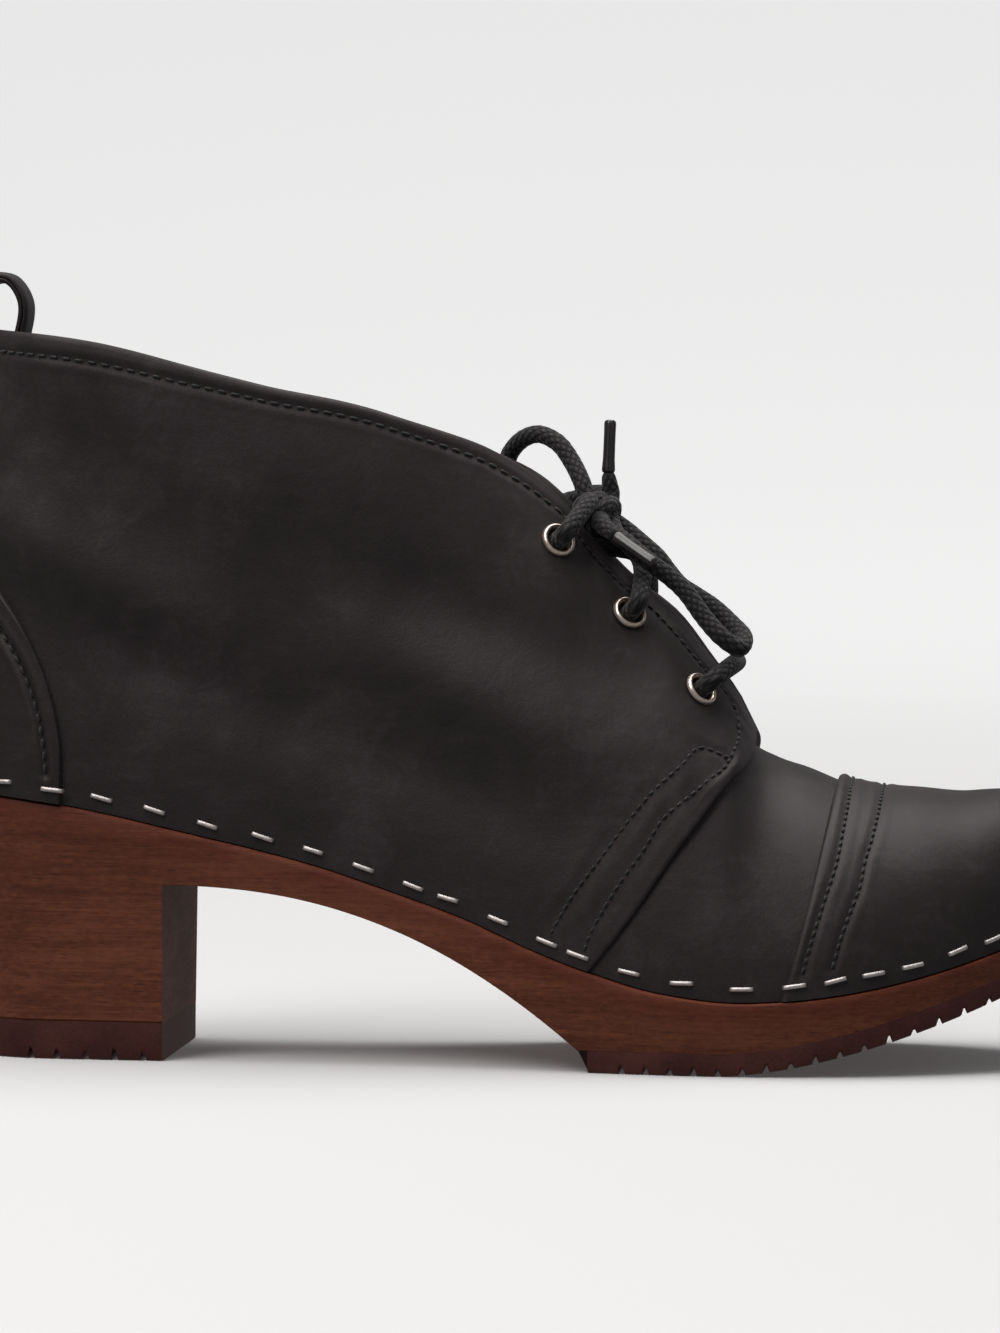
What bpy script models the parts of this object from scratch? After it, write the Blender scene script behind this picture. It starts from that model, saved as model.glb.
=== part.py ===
"""Clog boot: a lace-up leather ankle boot stapled to a one-piece wooden sole with a block heel.

A right shoe. X runs from the heel to the toe, Y to the inner side of the foot, Z up. The origin lies on
the floor under the middle of the heel. Every leather piece is cut from one surface, last_point, which
carries an arched section along the length of the sole.
"""

import math

import bmesh
import bpy
import numpy as np
from mathutils import Vector

# Driving dimensions, in metres
SHOE_LENGTH = 0.258
HEEL_OVERHANG = 0.027  # from the origin back to the end of the wood
BALL_WIDTH = 0.092
HEEL_EDGE_HEIGHT = 0.060  # wood's top edge at the back, above the floor
PLATFORM_HEIGHT = 0.016  # wood's top edge at the ball
TOE_EDGE_RISE = 0.0195  # wood's top edge at the toe tip, above that at the ball
TOE_SPRING = 0.0255  # tread at the toe tip, above the floor
QUARTER_HEIGHT = 0.102  # leather from the wood's edge to the collar

HEEL_LENGTH = 0.053  # from the back of the wood to the breast
HEEL_RUBBER = 0.0084
FRONT_RUBBER = 0.0048
ARCH_TOP = 0.0392  # underside of the waist at the breast, above the floor
ARCH_POWER = 2.3
ARCH_FRONT_SHARE = 0.564  # of the length, where the forefoot rubber starts
FLAT_END_SHARE = 0.686  # of the length, where the tread leaves the floor
TREAD_POWER = 1.6
EDGE_POWER = 1.9
SOLE_TAPER = 0.003  # how far the wood's side draws in from its top edge to the floor
EDGE_ROUND = 0.0010
RIM_HEIGHT = 0.010  # wood inside the leather, above the edge
FOOTBED_DIP = 0.003
REAR_SLOPE = 1.1  # run over rise of the forefoot rubber's rear end
TREAD_PITCH = 0.0065
TREAD_WIDTH = 0.0015
TREAD_DEPTH = 0.0020

WALL = 0.0018  # leather and lining
QUARTER_STEP = 0.0010  # how far the quarters stand above the vamp
OVERLAY = 0.0014  # toe cap and heel counter
GAP = 0.0003
REBATE_GAP = 0.0006
LEATHER_INSET = 0.0022  # last surface inside the wood's edge
TONGUE_THICK = 0.0025
LACE_DIAMETER = 0.0040
EYELET_OUTER = 0.0038  # radii
EYELET_INNER = 0.0029
EYELET_BARREL = 0.0032
EYELET_FLANGE = 0.0007
EYELET_SEAT = 0.0011  # flange above the curved leather
EYELET_BACK_SEAT = 0.0007
EYELET_BACK = 0.0004  # thickness of the rolled rim inside
EYELET_ROUND = 0.0003
EYELET_SIDES = 10
LOOP_WIDTH = 0.012
LOOP_THICK = 0.0025
LOOP_RISE = 0.0133  # crown of the pull loop above the collar
LOOP_ROOM = 0.0046  # half of the finger gap
LOOP_SEAT = 0.0012  # its flat inner leg stands this far off the curved wall
LOOP_MIDDLE = 0.0022  # middle of its arch in front of the back seam
LOOP_DROPS = (0.018, 0.010, 0.003)  # places down its outer leg, and down its inner one
LOOP_INNER_DROPS = (0.011, 0.018)
LOOP_ARCH = ((-0.51, 0.0010), (0.31, 0.0006), (0.93, 0.0055))  # across, in half widths; below the crown
LOOP_BACK_WIDTH, LOOP_BACK_RISE = 1.10, 0.0048
LOOP_FRONT_WIDTH, LOOP_FRONT_DROP = 0.90, 0.0010
AGLET_RADIUS = 0.0015
AGLET_LENGTH = 0.0115
AGLET_GAP = 0.0008

HEEL_ROUND = 0.115  # shares of the length over which the ends close
TOE_ROUND = 0.245
TOE_POWER = 2.2

# Sole outline: share of the length, half width and centre as shares of the ball width
PLAN_SHARE, PLAN_HALF, PLAN_CENTRE = np.array([
    (0.000, 0.326, 0.000),
    (0.105, 0.329, 0.000),
    (0.205, 0.335, -0.006),
    (0.300, 0.332, -0.018),
    (0.395, 0.345, -0.026),
    (0.490, 0.388, -0.026),
    (0.590, 0.448, -0.018),
    (0.665, 0.488, -0.008),
    (0.725, 0.500, 0.002),
    (0.800, 0.492, 0.016),
    (0.900, 0.470, 0.046),
    (1.000, 0.455, 0.076),
]).T

# Wood's top edge behind the ball: share of the length, share of the drop from heel to ball
EDGE_SHARE, EDGE_DROP = np.array([
    (0.000, 1.000),
    (0.116, 0.920),
    (0.225, 0.789),
    (0.333, 0.641),
    (0.413, 0.493),
    (0.463, 0.393),
    (0.531, 0.225),
    (0.577, 0.130),
    (0.632, 0.043),
    (0.700, 0.000),
    (1.000, 0.000),
]).T

# Leather sections: share of the length, height as a share of the quarter height, half opening as a
# share of the half width, squareness of the arch, and side pinch at the ankle
TOP_SHARE, TOP_HEIGHT, TOP_GAP, TOP_SQUARE, TOP_PINCH = np.array([
    (0.000, 1.000, 0.900, 2.50, 0.060),
    (0.130, 1.007, 0.900, 2.50, 0.060),
    (0.283, 1.002, 0.860, 2.40, 0.055),
    (0.393, 1.019, 0.700, 2.25, 0.040),
    (0.461, 1.019, 0.470, 2.05, 0.020),
    (0.498, 1.010, 0.330, 1.95, 0.010),
    (0.536, 0.973, 0.225, 1.88, 0.000),
    (0.561, 0.914, 0.195, 1.85, 0.000),
    (0.596, 0.853, 0.162, 1.83, 0.000),
    (0.631, 0.807, 0.125, 1.83, 0.000),
    (0.667, 0.709, 0.072, 1.86, 0.000),
    (0.690, 0.634, 0.028, 1.90, 0.000),
    (0.7045, 0.560, 0.000, 1.92, 0.000),
    (0.720, 0.513, 0.000, 1.95, 0.000),
    (0.754, 0.475, 0.000, 2.02, 0.000),
    (0.800, 0.415, 0.000, 2.15, 0.000),
    (0.850, 0.374, 0.000, 2.25, 0.000),
    (0.900, 0.343, 0.000, 2.35, 0.000),
    (1.000, 0.335, 0.000, 2.45, 0.000),
]).T
THROAT_END = 0.7045  # share of the length
TOE_TOP_ROUND = 0.17
TOE_TOP_POWER = 2.3
TOE_WALL = 0.30  # upright part of the toe's front, as a share of its height there
HEEL_LEAN = 0.0075  # how far the back seam comes forward at the collar
HEEL_BULGE = 0.0022
LEAN_SHARE = 0.36

QUARTER_FOOT = 0.5745  # share of the length where the quarter's front edge meets the wood
QUARTER_TOP = 0.7130
CAP_FOOT = 0.7400
CAP_TOP = 0.7800
EDGE_SWEEP = 2.3
COUNTER_FRONT = 0.1180
COUNTER_HEIGHT = 0.54  # of the quarter height, at the back seam
COUNTER_POWER = 2.6

# Eyelets of one side: share of the length, height above the floor
EYELETS = ((0.5365, 0.1155), (0.5980, 0.0994), (0.6600, 0.0828))

THROAT_ROWS = 21  # stations of the upper from the back seam to the end of the throat
TOE_ROWS = 11  # and from there to the toe tip
STEP_FACE = 0.0002  # run of the step between quarter and vamp
SOLE_ROWS = 37
LACE_PITCH = 0.0029  # rings of a threaded strand
CORD_PITCH = 0.0035  # and of a free one
TREAD_CHAMFER = 0.0008
CUT_ROOM = 0.004  # how far cutters reach past the solid
HEEL_ROUND_END, HEEL_GROOVE_START = 0.070, 0.085  # shares of the length, under the heel
FRONT_GROOVE_START = 0.0035  # behind the first groove of the forefoot rubber
TOE_GROOVE_END = 0.010  # plain rubber at the toe tip
LATERAL, MEDIAL = -1, 1
TINY = 1e-4
END_U = 0.006

TONGUE_BACK, TONGUE_FRONT = 0.517, 0.745  # shares of the length
TONGUE_SWEEP = 0.026  # how much further back its sides begin, so that its top is level
TONGUE_SIDE = 0.52  # of a right angle: where its sides end
TONGUE_DROP = LACE_DIAMETER + 0.0030

THREAD_IN = 0.0052  # how far a lace runs in and out of an eyelet before it bends
THREAD_OUT = 0.0042
BAR_ARCH = ((0.03, 0.0066), (0.20, 0.0082), (0.50, 0.0088), (0.80, 0.0082), (0.97, 0.0066))
UNDER_SEAT = 0.0062
UNDER_CLEAR = 0.0030
UNDER_CROSS, UNDER_DEPTH = 0.628, -0.0056
CROSS_RISE = 0.0010
TIE_SHARE = 0.546  # where the strands from the top eyelets pass over the quarter's edge
TIE_ENDS = {LATERAL: (-0.0039, -0.0051, 0.0014), MEDIAL: (-0.0043, 0.0057, -0.0004)}
OVER_START, OVER_CROSS, OVER_END = 0.598, 0.580, 0.558
OVER_EDGE = QUARTER_STEP + LACE_DIAMETER / 2 + 0.0012
OVER_LIFT = 0.0020
OVER_DEPTH = 0.0054

# The bow: places in metres
KNOT_PLACE = np.array([0.1205, -0.0030, 0.1218])
KNOT_HALF = (0.0054, 0.0050, 0.0040)
LOOP_BACK = (
    (0.1173, -0.0026, 0.1261), (0.1161, -0.0012, 0.1290), (0.1137, 0.0020, 0.1333), (0.1103, 0.0050, 0.1375),
    (0.1054, 0.0090, 0.1395), (0.1005, 0.0140, 0.1375), (0.0977, 0.0175, 0.1331), (0.0985, 0.0205, 0.1275),
    (0.1020, 0.0222, 0.1240), (0.1075, 0.0222, 0.1245), (0.1130, 0.0195, 0.1270), (0.1186, 0.0132, 0.1300),
    (0.1228, 0.0070, 0.1280), (0.1223, 0.0026, 0.1230),
)
LOOP_FRONT = (
    (0.1263, -0.0026, 0.1197), (0.1295, -0.0036, 0.1181), (0.1335, -0.0042, 0.1152), (0.1370, -0.0050, 0.1117),
    (0.1400, -0.0056, 0.1079), (0.1440, -0.0060, 0.1055), (0.1486, -0.0070, 0.1034), (0.1527, -0.0100, 0.1001),
    (0.1550, -0.0140, 0.0963), (0.1534, -0.0180, 0.0925), (0.1484, -0.0190, 0.0944), (0.1438, -0.0170, 0.0987),
    (0.1402, -0.0160, 0.1037), (0.1367, -0.0162, 0.1081), (0.1320, -0.0160, 0.1117), (0.1270, -0.0130, 0.1158),
    (0.1243, -0.0078, 0.1177),
)
END_BACK = ((0.1224, -0.0017, 0.1262), (0.1222, -0.0006, 0.1284), (0.1220, 0.0001, 0.1307))
END_FRONT = ((0.1209, -0.0094, 0.1203), (0.1219, -0.0140, 0.1194), (0.1247, -0.0174, 0.1172))
AGLET_WAYS = ((0.02, 0.16, 1.0), (0.80, -0.42, -0.52))


def clear_scene():
    for item in list(bpy.data.objects):
        bpy.data.objects.remove(item, do_unlink=True)


def material(name, colour, roughness, metallic=0.0):
    made = bpy.data.materials.new(name)
    made.use_nodes = True
    shader = made.node_tree.nodes["Principled BSDF"]
    shader.inputs["Base Color"].default_value = (*colour, 1.0)
    shader.inputs["Roughness"].default_value = roughness
    shader.inputs["Metallic"].default_value = metallic
    return made


def curve_through(shares, values, at):
    """A smooth cubic through the rows of a table that never overshoots them."""
    step = np.diff(shares)
    slope = np.diff(values) / step
    total = slope[:-1] + slope[1:]
    same = slope[:-1] * slope[1:] > 0
    inner = np.where(same, 2 * slope[:-1] * slope[1:] / np.where(same, total, 1), 0)
    tangent = np.concatenate([slope[:1], inner, slope[-1:]])
    at = np.clip(at, shares[0], shares[-1])
    k = np.clip(np.searchsorted(shares, at, side="right") - 1, 0, len(step) - 1)
    q = (at - shares[k]) / step[k]
    return (
        (2 * q**3 - 3 * q**2 + 1) * values[k]
        + (q**3 - 2 * q**2 + q) * step[k] * tangent[k]
        + (3 * q**2 - 2 * q**3) * values[k + 1]
        + (q**3 - q**2) * step[k] * tangent[k + 1]
    )


def share_of(u):
    """Stations bunch up at both ends, so that u runs evenly round the heel and the toe."""
    return (1 - np.cos(np.pi * u)) / 2


def u_of(share):
    return np.arccos(1 - 2 * np.clip(share, 0, 1)) / np.pi


def x_of(share):
    return share * SHOE_LENGTH - HEEL_OVERHANG


def share_at(x):
    return (x + HEEL_OVERHANG) / SHOE_LENGTH


def rounded_end(q, power):
    return (1 - np.clip(q, 0, 1) ** power) ** (1 / power)


def plan(u):
    """Place along the length, centre and half width of the sole's outline."""
    share = share_of(np.clip(u, 0, 1))
    half = BALL_WIDTH * curve_through(PLAN_SHARE, PLAN_HALF, share)
    half = half * rounded_end(1 - share / HEEL_ROUND, 2)
    half = half * rounded_end((share - 1 + TOE_ROUND) / TOE_ROUND, TOE_POWER)
    return x_of(share), BALL_WIDTH * curve_through(PLAN_SHARE, PLAN_CENTRE, share), half


def outline(u, side, inset):
    """A point of the outline, moved in along its own normal."""
    before, after = np.clip(u - TINY, 0, 1), np.clip(u + TINY, 0, 1)
    ends = []
    for station in (before, after, u):
        x, centre, half = plan(station)
        ends.append(np.stack([x, centre + side * half], -1))
    run = ends[1] - ends[0]
    run = run / np.linalg.norm(run, axis=-1, keepdims=True)
    outward = side * np.stack([-run[..., 1], run[..., 0]], -1)
    return ends[2] - np.asarray(inset)[..., None] * outward


def edge_height(share):
    """Height of the wood's top edge."""
    drop = (HEEL_EDGE_HEIGHT - PLATFORM_HEIGHT) * curve_through(EDGE_SHARE, EDGE_DROP, share)
    rise = np.clip((share - 0.7) / 0.3, 0, 1) ** EDGE_POWER
    return PLATFORM_HEIGHT + drop + TOE_EDGE_RISE * rise


def tread_height(share):
    """Height of the forefoot's underside, before its grooves."""
    past = np.clip((share - FLAT_END_SHARE) / (1 - FLAT_END_SHARE), 0, 1)
    return TOE_SPRING * past**TREAD_POWER


def section_sizes(share):
    height = QUARTER_HEIGHT * curve_through(TOP_SHARE, TOP_HEIGHT, share)
    tip = (share - 1 + TOE_TOP_ROUND) / TOE_TOP_ROUND
    height = height * (TOE_WALL + (1 - TOE_WALL) * rounded_end(tip, TOE_TOP_POWER))
    gap = curve_through(TOP_SHARE, TOP_GAP, share)
    square = curve_through(TOP_SHARE, TOP_SQUARE, share)
    top = (1 - gap**square) ** (1 / square)
    return height / top, square, np.arctan2(top, gap)


def last_point(u, side, angle):
    """The last's surface: an arch of squareness n over each station, its angle from 0 at the wood."""
    u = np.clip(u, 0, 1)
    share = share_of(u)
    height, square, edge_angle = section_sizes(share)
    inset = np.full(np.shape(u), LEATHER_INSET)
    foot = outline(u, side, inset)
    middle = (foot + outline(u, -side, inset)) / 2
    cos, sin = np.cos(angle), np.sin(angle)
    radius = (np.abs(cos) ** square + np.abs(sin) ** square) ** (-1 / square)
    across, up = radius * cos, radius * sin
    pinch = curve_through(TOP_SHARE, TOP_PINCH, share) * np.sin(np.pi * np.clip(angle / edge_angle, 0, 1)) ** 2
    z = edge_height(share) + GAP + height * up
    climb = np.clip(height * up / QUARTER_HEIGHT, 0, 1.3)
    fade = np.clip(1 - share / LEAN_SHARE, 0, 1) ** 1.5
    lean = (HEEL_LEAN * climb**1.6 - HEEL_BULGE * np.sin(np.pi * np.clip(climb, 0, 1)) ** 2) * fade
    out_x = middle[..., 0] + (foot[..., 0] - middle[..., 0]) * across + lean
    out_y = middle[..., 1] + (foot[..., 1] - middle[..., 1]) * across * (1 - pinch)
    return np.stack([out_x, out_y, z], -1)


def face_way(u, side, angle):
    """The outward direction of the last's surface."""
    low, high = np.clip(u, END_U, 1 - END_U) - TINY, np.clip(u, END_U, 1 - END_U) + TINY
    middle = (low + high) / 2
    along = last_point(high, side, angle) - last_point(low, side, angle)
    over = last_point(middle, side, angle + TINY) - last_point(middle, side, angle - TINY)
    way = -side * np.cross(along, over)
    return way / np.linalg.norm(way, axis=-1, keepdims=True)


def offset_point(u, side, angle, offset):
    """A point of the last, moved out along the surface's normal. Both sides share it at the ends."""
    u, angle, offset = np.broadcast_arrays(*map(np.asarray, (u, angle, offset)))
    u = u.astype(float)
    way = face_way(u, side, angle)
    both = way + face_way(u, -side, angle)
    both = both / np.linalg.norm(both, axis=-1, keepdims=True)
    way = np.where(((u <= 0) | (u >= 1))[..., None], both, way)
    return last_point(u, side, angle) + offset[..., None] * way


def angle_at_height(share, z):
    """The arch's angle where it passes a height."""
    height, square, _ = section_sizes(share)
    t = np.clip((z - edge_height(share) - GAP) / height, 0, 0.9999)
    return np.arctan2(t, (1 - t**square) ** (1 / square))


def mesh_object(name, points, faces, finish, smooth_angle=40):
    """One object from points and faces, with doubles merged and normals outward."""
    made = bmesh.new()
    verts = [made.verts.new(p) for p in np.asarray(points, float).reshape(-1, 3)]
    for face in faces:
        kept = [verts[i] for i in dict.fromkeys(face)]
        if len(kept) > 2:
            made.faces.new(kept)
    bmesh.ops.remove_doubles(made, verts=made.verts, dist=2e-5)
    bmesh.ops.dissolve_degenerate(made, edges=made.edges, dist=1e-6)
    bmesh.ops.delete(made, geom=[edge for edge in made.edges if not edge.link_faces], context="EDGES")
    bmesh.ops.triangulate(made, faces=made.faces, quad_method="FIXED")
    bmesh.ops.recalc_face_normals(made, faces=made.faces)
    if made.calc_volume(signed=True) < 0:
        bmesh.ops.reverse_faces(made, faces=made.faces)
    data = bpy.data.meshes.new(name)
    made.to_mesh(data)
    made.free()
    data.shade_smooth()
    data.set_sharp_from_angle(angle=math.radians(smooth_angle))
    item = bpy.data.objects.new(name, data)
    bpy.context.scene.collection.objects.link(item)
    item.data.materials.append(finish)
    return item


def grid_faces(index):
    """Quads of a grid of point numbers."""
    a, b = index[:-1, :-1].ravel(), index[1:, :-1].ravel()
    c, d = index[1:, 1:].ravel(), index[:-1, 1:].ravel()
    return np.stack([a, b, c, d], -1).tolist()


def ring_loft(name, rings, finish, smooth_angle=40):
    """A solid from rings of points, station by station, closed round each ring and at both ends."""
    rings = np.asarray(rings)
    count, around = rings.shape[:2]
    index = np.arange(count * around).reshape(count, around)
    faces = grid_faces(np.concatenate([index, index[:, :1]], axis=1))
    faces += [index[0].tolist(), index[-1].tolist()]
    return mesh_object(name, rings, faces, finish, smooth_angle)


def cut(item, cutter):
    """Takes the cutter out of the item and hides it."""
    cutter.hide_render = True
    cutter.display_type = "WIRE"
    saw = item.modifiers.new("cut", "BOOLEAN")
    saw.operation = "DIFFERENCE"
    saw.object = cutter


def side_inset(share, z):
    """How far the sole's side has drawn in at a height."""
    return SOLE_TAPER * (1 - z / edge_height(share))


def outline_ring(u, insets, heights):
    """Both sides of the outline at one station, lateral from the bottom up, then medial down."""
    u = np.full(len(insets), u)
    halves = []
    for side in (LATERAL, MEDIAL):
        place = outline(u, side, np.asarray(insets))
        halves.append(np.column_stack([place, heights]))
    return halves[0], halves[1][::-1]


def sole(finish):
    """The wooden sole: sides from the outline, a rebate that takes the leather, and a dished footbed."""
    rings = []
    for u in np.linspace(0, 1, SOLE_ROWS):
        share = share_of(u)
        edge = edge_height(share)
        base = np.interp(share, (0.5, 0.6), (HEEL_RUBBER, FRONT_RUBBER)) + tread_height(share)
        low = (base, base + 0.4 * (edge - base), edge - EDGE_ROUND)
        insets = [side_inset(share, z) for z in low] + [EDGE_ROUND]
        lateral, medial = outline_ring(u, insets, [*low, edge])
        rim = min(RIM_HEIGHT, 0.6 * section_sizes(share)[0])
        levels = np.array([edge, edge + 0.5 * rim, edge + rim])
        walls = []
        for side in (LATERAL, MEDIAL):
            angle = angle_at_height(share, levels + GAP)
            wall = offset_point(u, side, angle, -WALL - REBATE_GAP)
            wall[:, 2] = levels
            walls.append(wall)
        middle = (walls[0][-1] + walls[1][-1]) / 2
        bed = []
        for t in (0.82, 0.45, 0.0):
            for wall in walls[: 1 if t == 0 else 2]:
                place = middle + t * (wall[-1] - middle)
                place[2] = middle[2] - FOOTBED_DIP * (1 - t**2) * min(1, 6 * u, 6 - 6 * u)
                bed.append(place)
        top = [*walls[0], bed[0], bed[2], bed[4], bed[3], bed[1], *walls[1][::-1]]
        rings.append(np.concatenate([lateral, top, medial]))
    block = ring_loft("sole", rings, finish, 35)
    cut(block, arch_cutter())
    return block


def arch_cutter():
    """The arch as a bar sawn out across the sole: upright at the breast, then down in one sweep."""
    breast = HEEL_LENGTH - HEEL_OVERHANG
    front = x_of(ARCH_FRONT_SHARE)
    q = np.linspace(0, 1, 17)
    sweep_x = breast + (front - breast) * q
    sweep_z = FRONT_RUBBER + (ARCH_TOP - FRONT_RUBBER) * (1 - q**ARCH_POWER)
    side = [(breast, -CUT_ROOM), *zip(sweep_x, sweep_z), (front + CUT_ROOM, 0.0), (front + CUT_ROOM, -CUT_ROOM)]
    width = 0.7 * BALL_WIDTH
    rings = [[(x, y, z) for x, z in side] for y in (-width, width)]
    return ring_loft("arch_cutter", rings, bpy.data.materials["sole"])


def heel_rubber(finish):
    """The heel's top piece, with its grooves across."""
    breast = share_at(HEEL_LENGTH - HEEL_OVERHANG)
    shares = [*share_of(np.linspace(0, u_of(HEEL_ROUND_END), 10))]
    x = x_of(HEEL_GROOVE_START)
    depth = []
    while x < x_of(breast) - TREAD_PITCH * 0.6:
        shares += [share_at(x + k * TREAD_WIDTH / 3) for k in (0, 1, 2, 3)]
        depth += [x]
        x += TREAD_PITCH
    shares.append(breast - TINY)
    return rubber("outsole_heel", shares, depth, HEEL_RUBBER, finish)


def groove_depth(x, grooves):
    """How deep the tread is cut at a place: full depth in the middle third of a groove."""
    depth = 0.0
    for start in grooves:
        t = (x - start) / TREAD_WIDTH
        depth = max(depth, TREAD_DEPTH * np.clip(3 * min(t, 1 - t), 0, 1))
    return depth


def rubber(name, shares, grooves, thick, finish, rear_slope=0.0):
    """A tread piece under the wood, grooved across, its rear end sloped."""
    rings = []
    for share in shares:
        floor = float(tread_height(share))
        top = floor + thick - GAP
        bottom = floor + float(groove_depth(x_of(share), grooves))
        inset = side_inset(share, floor + thick)
        insets = [inset + TREAD_CHAMFER, inset, inset]
        lateral, medial = outline_ring(u_of(share), insets, [bottom, bottom + TREAD_CHAMFER, top])
        rings.append(np.concatenate([lateral, medial]))
    rings[0][:, 0] += rear_slope * (rings[0][:, 2].max() - rings[0][:, 2])
    return ring_loft(name, rings, finish, 30)


def front_rubber(finish):
    """The forefoot rubber, bent up with the toe, its rear end cut on the line of the arch."""
    start = share_at(x_of(ARCH_FRONT_SHARE) + GAP)
    x = x_of(start) + REAR_SLOPE * FRONT_RUBBER + FRONT_GROOVE_START
    shares, grooves = [start], []
    while x < x_of(1) - TOE_GROOVE_END:
        grooves.append(x)
        shares += [share_at(x + k * TREAD_WIDTH / 3) for k in (0, 1, 2, 3)]
        x += TREAD_PITCH if x_of(FLAT_END_SHARE) > x + TREAD_PITCH else 2 * TREAD_PITCH
    last = u_of(shares[-1])
    shares += list(share_of(np.linspace(last, 1, 8)[1:]))
    return rubber("outsole_front", shares, grooves, FRONT_RUBBER, finish, REAR_SLOPE)


def swept_share(lift, foot, top):
    """The share of the length where an edge line passes, from the wood (lift 0) to the ridge (lift 1)."""
    return foot + (top - foot) * (1 - (1 - lift) ** EDGE_SWEEP)


def walls(name, patches, finish):
    """One wall from patches of outer and inner grids, closed along the borders that each names."""
    points, faces, count = [], [], 0
    for outer, inner, borders in patches:
        rows, columns = outer.shape[:2]
        front = np.arange(rows * columns).reshape(rows, columns) + count
        back = front + rows * columns
        faces += grid_faces(front) + grid_faces(back)
        for border in borders:
            faces += grid_faces(np.stack([front[border], back[border]]))
        points += [outer.reshape(-1, 3), inner.reshape(-1, 3)]
        count += 2 * rows * columns
    return mesh_object(name, np.concatenate(points), faces, finish)


def between(start, stop, count):
    """Rows of stations from one line of stations to another."""
    return [start + (stop - start) * t for t in np.linspace(0, 1, count + 1)[1:]]


def upper(finish):
    """Vamp and quarters as one wall. The quarters stand a step above the vamp along their front edge."""
    lift = np.linspace(0, 1, 11)
    throat = u_of(swept_share(lift, QUARTER_FOOT + THROAT_END - QUARTER_TOP, THROAT_END))
    edge = u_of(swept_share(lift, QUARTER_FOOT, QUARTER_TOP))
    below = u_of(swept_share(lift, QUARTER_FOOT, QUARTER_TOP) + STEP_FACE / SHOE_LENGTH)
    rows = [0 * lift, *between(0 * lift, throat, THROAT_ROWS), edge, below, *between(below, 1 + 0 * lift, TOE_ROWS)]
    u = np.array(rows)
    step = np.where(np.arange(len(rows)) < THROAT_ROWS + 2, QUARTER_STEP, 0.0)[:, None] + 0 * u
    angle = section_sizes(share_of(u))[2] * lift
    patches = []
    for side in (LATERAL, MEDIAL):
        outer = offset_point(u, side, angle, step)
        inner = offset_point(u, side, angle, -WALL)
        patches.append((outer, inner, [np.s_[:, 0], np.s_[: THROAT_ROWS + 1, -1]]))
    item = walls("upper", patches, finish)
    cut(item, eyelet_cutter())
    return item


def over_ridge(u, angle, offset):
    """A grid of points from the lateral side over the ridge to the medial side."""
    lateral = offset_point(u, LATERAL, angle, offset)
    medial = offset_point(u, MEDIAL, angle, offset)
    return np.concatenate([lateral, medial[:, -2::-1]], axis=1)


def toe_cap(finish):
    """The overlay over the toe, ending in a swept edge."""
    lift = np.linspace(0, 1, 10)
    start = u_of(swept_share(lift, CAP_FOOT, CAP_TOP))
    u = np.array([start, *between(start, 1 + 0 * lift, 10)])
    angle = np.pi / 2 * lift + 0 * u
    outer = over_ridge(u, angle, GAP + OVERLAY)
    inner = over_ridge(u, angle, GAP)
    return walls("toe_cap", [(outer, inner, [np.s_[0], np.s_[:, 0], np.s_[:, -1]])], finish)


def heel_counter(finish):
    """The counter round the heel, highest at the back seam."""
    t = np.sin(np.linspace(0, np.pi / 2, 10)) * 0.995
    u = u_of(COUNTER_FRONT) * t
    share = share_of(u)
    rise = COUNTER_HEIGHT * QUARTER_HEIGHT * (1 - t**COUNTER_POWER) ** (1 / COUNTER_POWER)
    top = angle_at_height(share, edge_height(share) + rise)
    angle = np.linspace(0, 1, 8)[:, None] * top
    base = QUARTER_STEP + GAP
    grids = []
    for offset in (base + OVERLAY, base):
        lateral = offset_point(u, LATERAL, angle, offset)
        medial = offset_point(u, MEDIAL, angle, offset)
        grids.append(np.concatenate([lateral[:, ::-1], medial[:, 1:]], axis=1))
    borders = [np.s_[0], np.s_[-1], np.s_[:, 0], np.s_[:, -1]]
    return walls("heel_counter", [(grids[0], grids[1], borders)], finish)


def tongue(finish):
    """The tongue under the throat, low enough for the laces to cross above it."""
    t = np.linspace(0, 1, 13)[:, None]
    across = np.linspace(0, 1, 7)[None, :]
    back = TONGUE_BACK - TONGUE_SWEEP * (1 - across) ** 1.5
    u = u_of(back + (TONGUE_FRONT - back) * t)
    angle = np.pi / 2 * (TONGUE_SIDE + (1 - TONGUE_SIDE) * across) + 0 * t
    drop = WALL + GAP + (TONGUE_DROP - GAP) * np.clip((1 - t) / 0.3, 0, 1) ** 0.8 + 0 * across
    outer = over_ridge(u, angle, -drop)
    inner = over_ridge(u, angle, -drop - TONGUE_THICK)
    borders = [np.s_[0], np.s_[-1], np.s_[:, 0], np.s_[:, -1]]
    return walls("tongue", [(outer, inner, borders)], finish)


def eyelet_places():
    """Side, row, centre on the quarter's face, and the way the eyelet looks."""
    places = []
    for side in (LATERAL, MEDIAL):
        for row, (share, height) in enumerate(EYELETS, start=1):
            angle = float(angle_at_height(np.float64(share), height))
            centre = offset_point(u_of(share), side, angle, QUARTER_STEP)
            places.append((side, row, centre, face_way(np.float64(u_of(share)), side, angle)))
    return places


def turned(profile, centre, way, segments):
    """Points and faces of a closed profile (radius, height) turned about an axis."""
    way = Vector(way).normalized()
    across = way.orthogonal().normalized()
    beside = way.cross(across)
    turn = np.linspace(0, 2 * np.pi, segments, endpoint=False)
    rings = [
        [Vector(centre) + way * h + (across * math.cos(a) + beside * math.sin(a)) * r for r, h in profile]
        for a in turn
    ]
    index = np.arange(segments * len(profile)).reshape(segments, -1)
    index = np.concatenate([index, index[:, :1]], axis=1)
    return np.array(rings), grid_faces(np.concatenate([index, index[:1]]))


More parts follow.
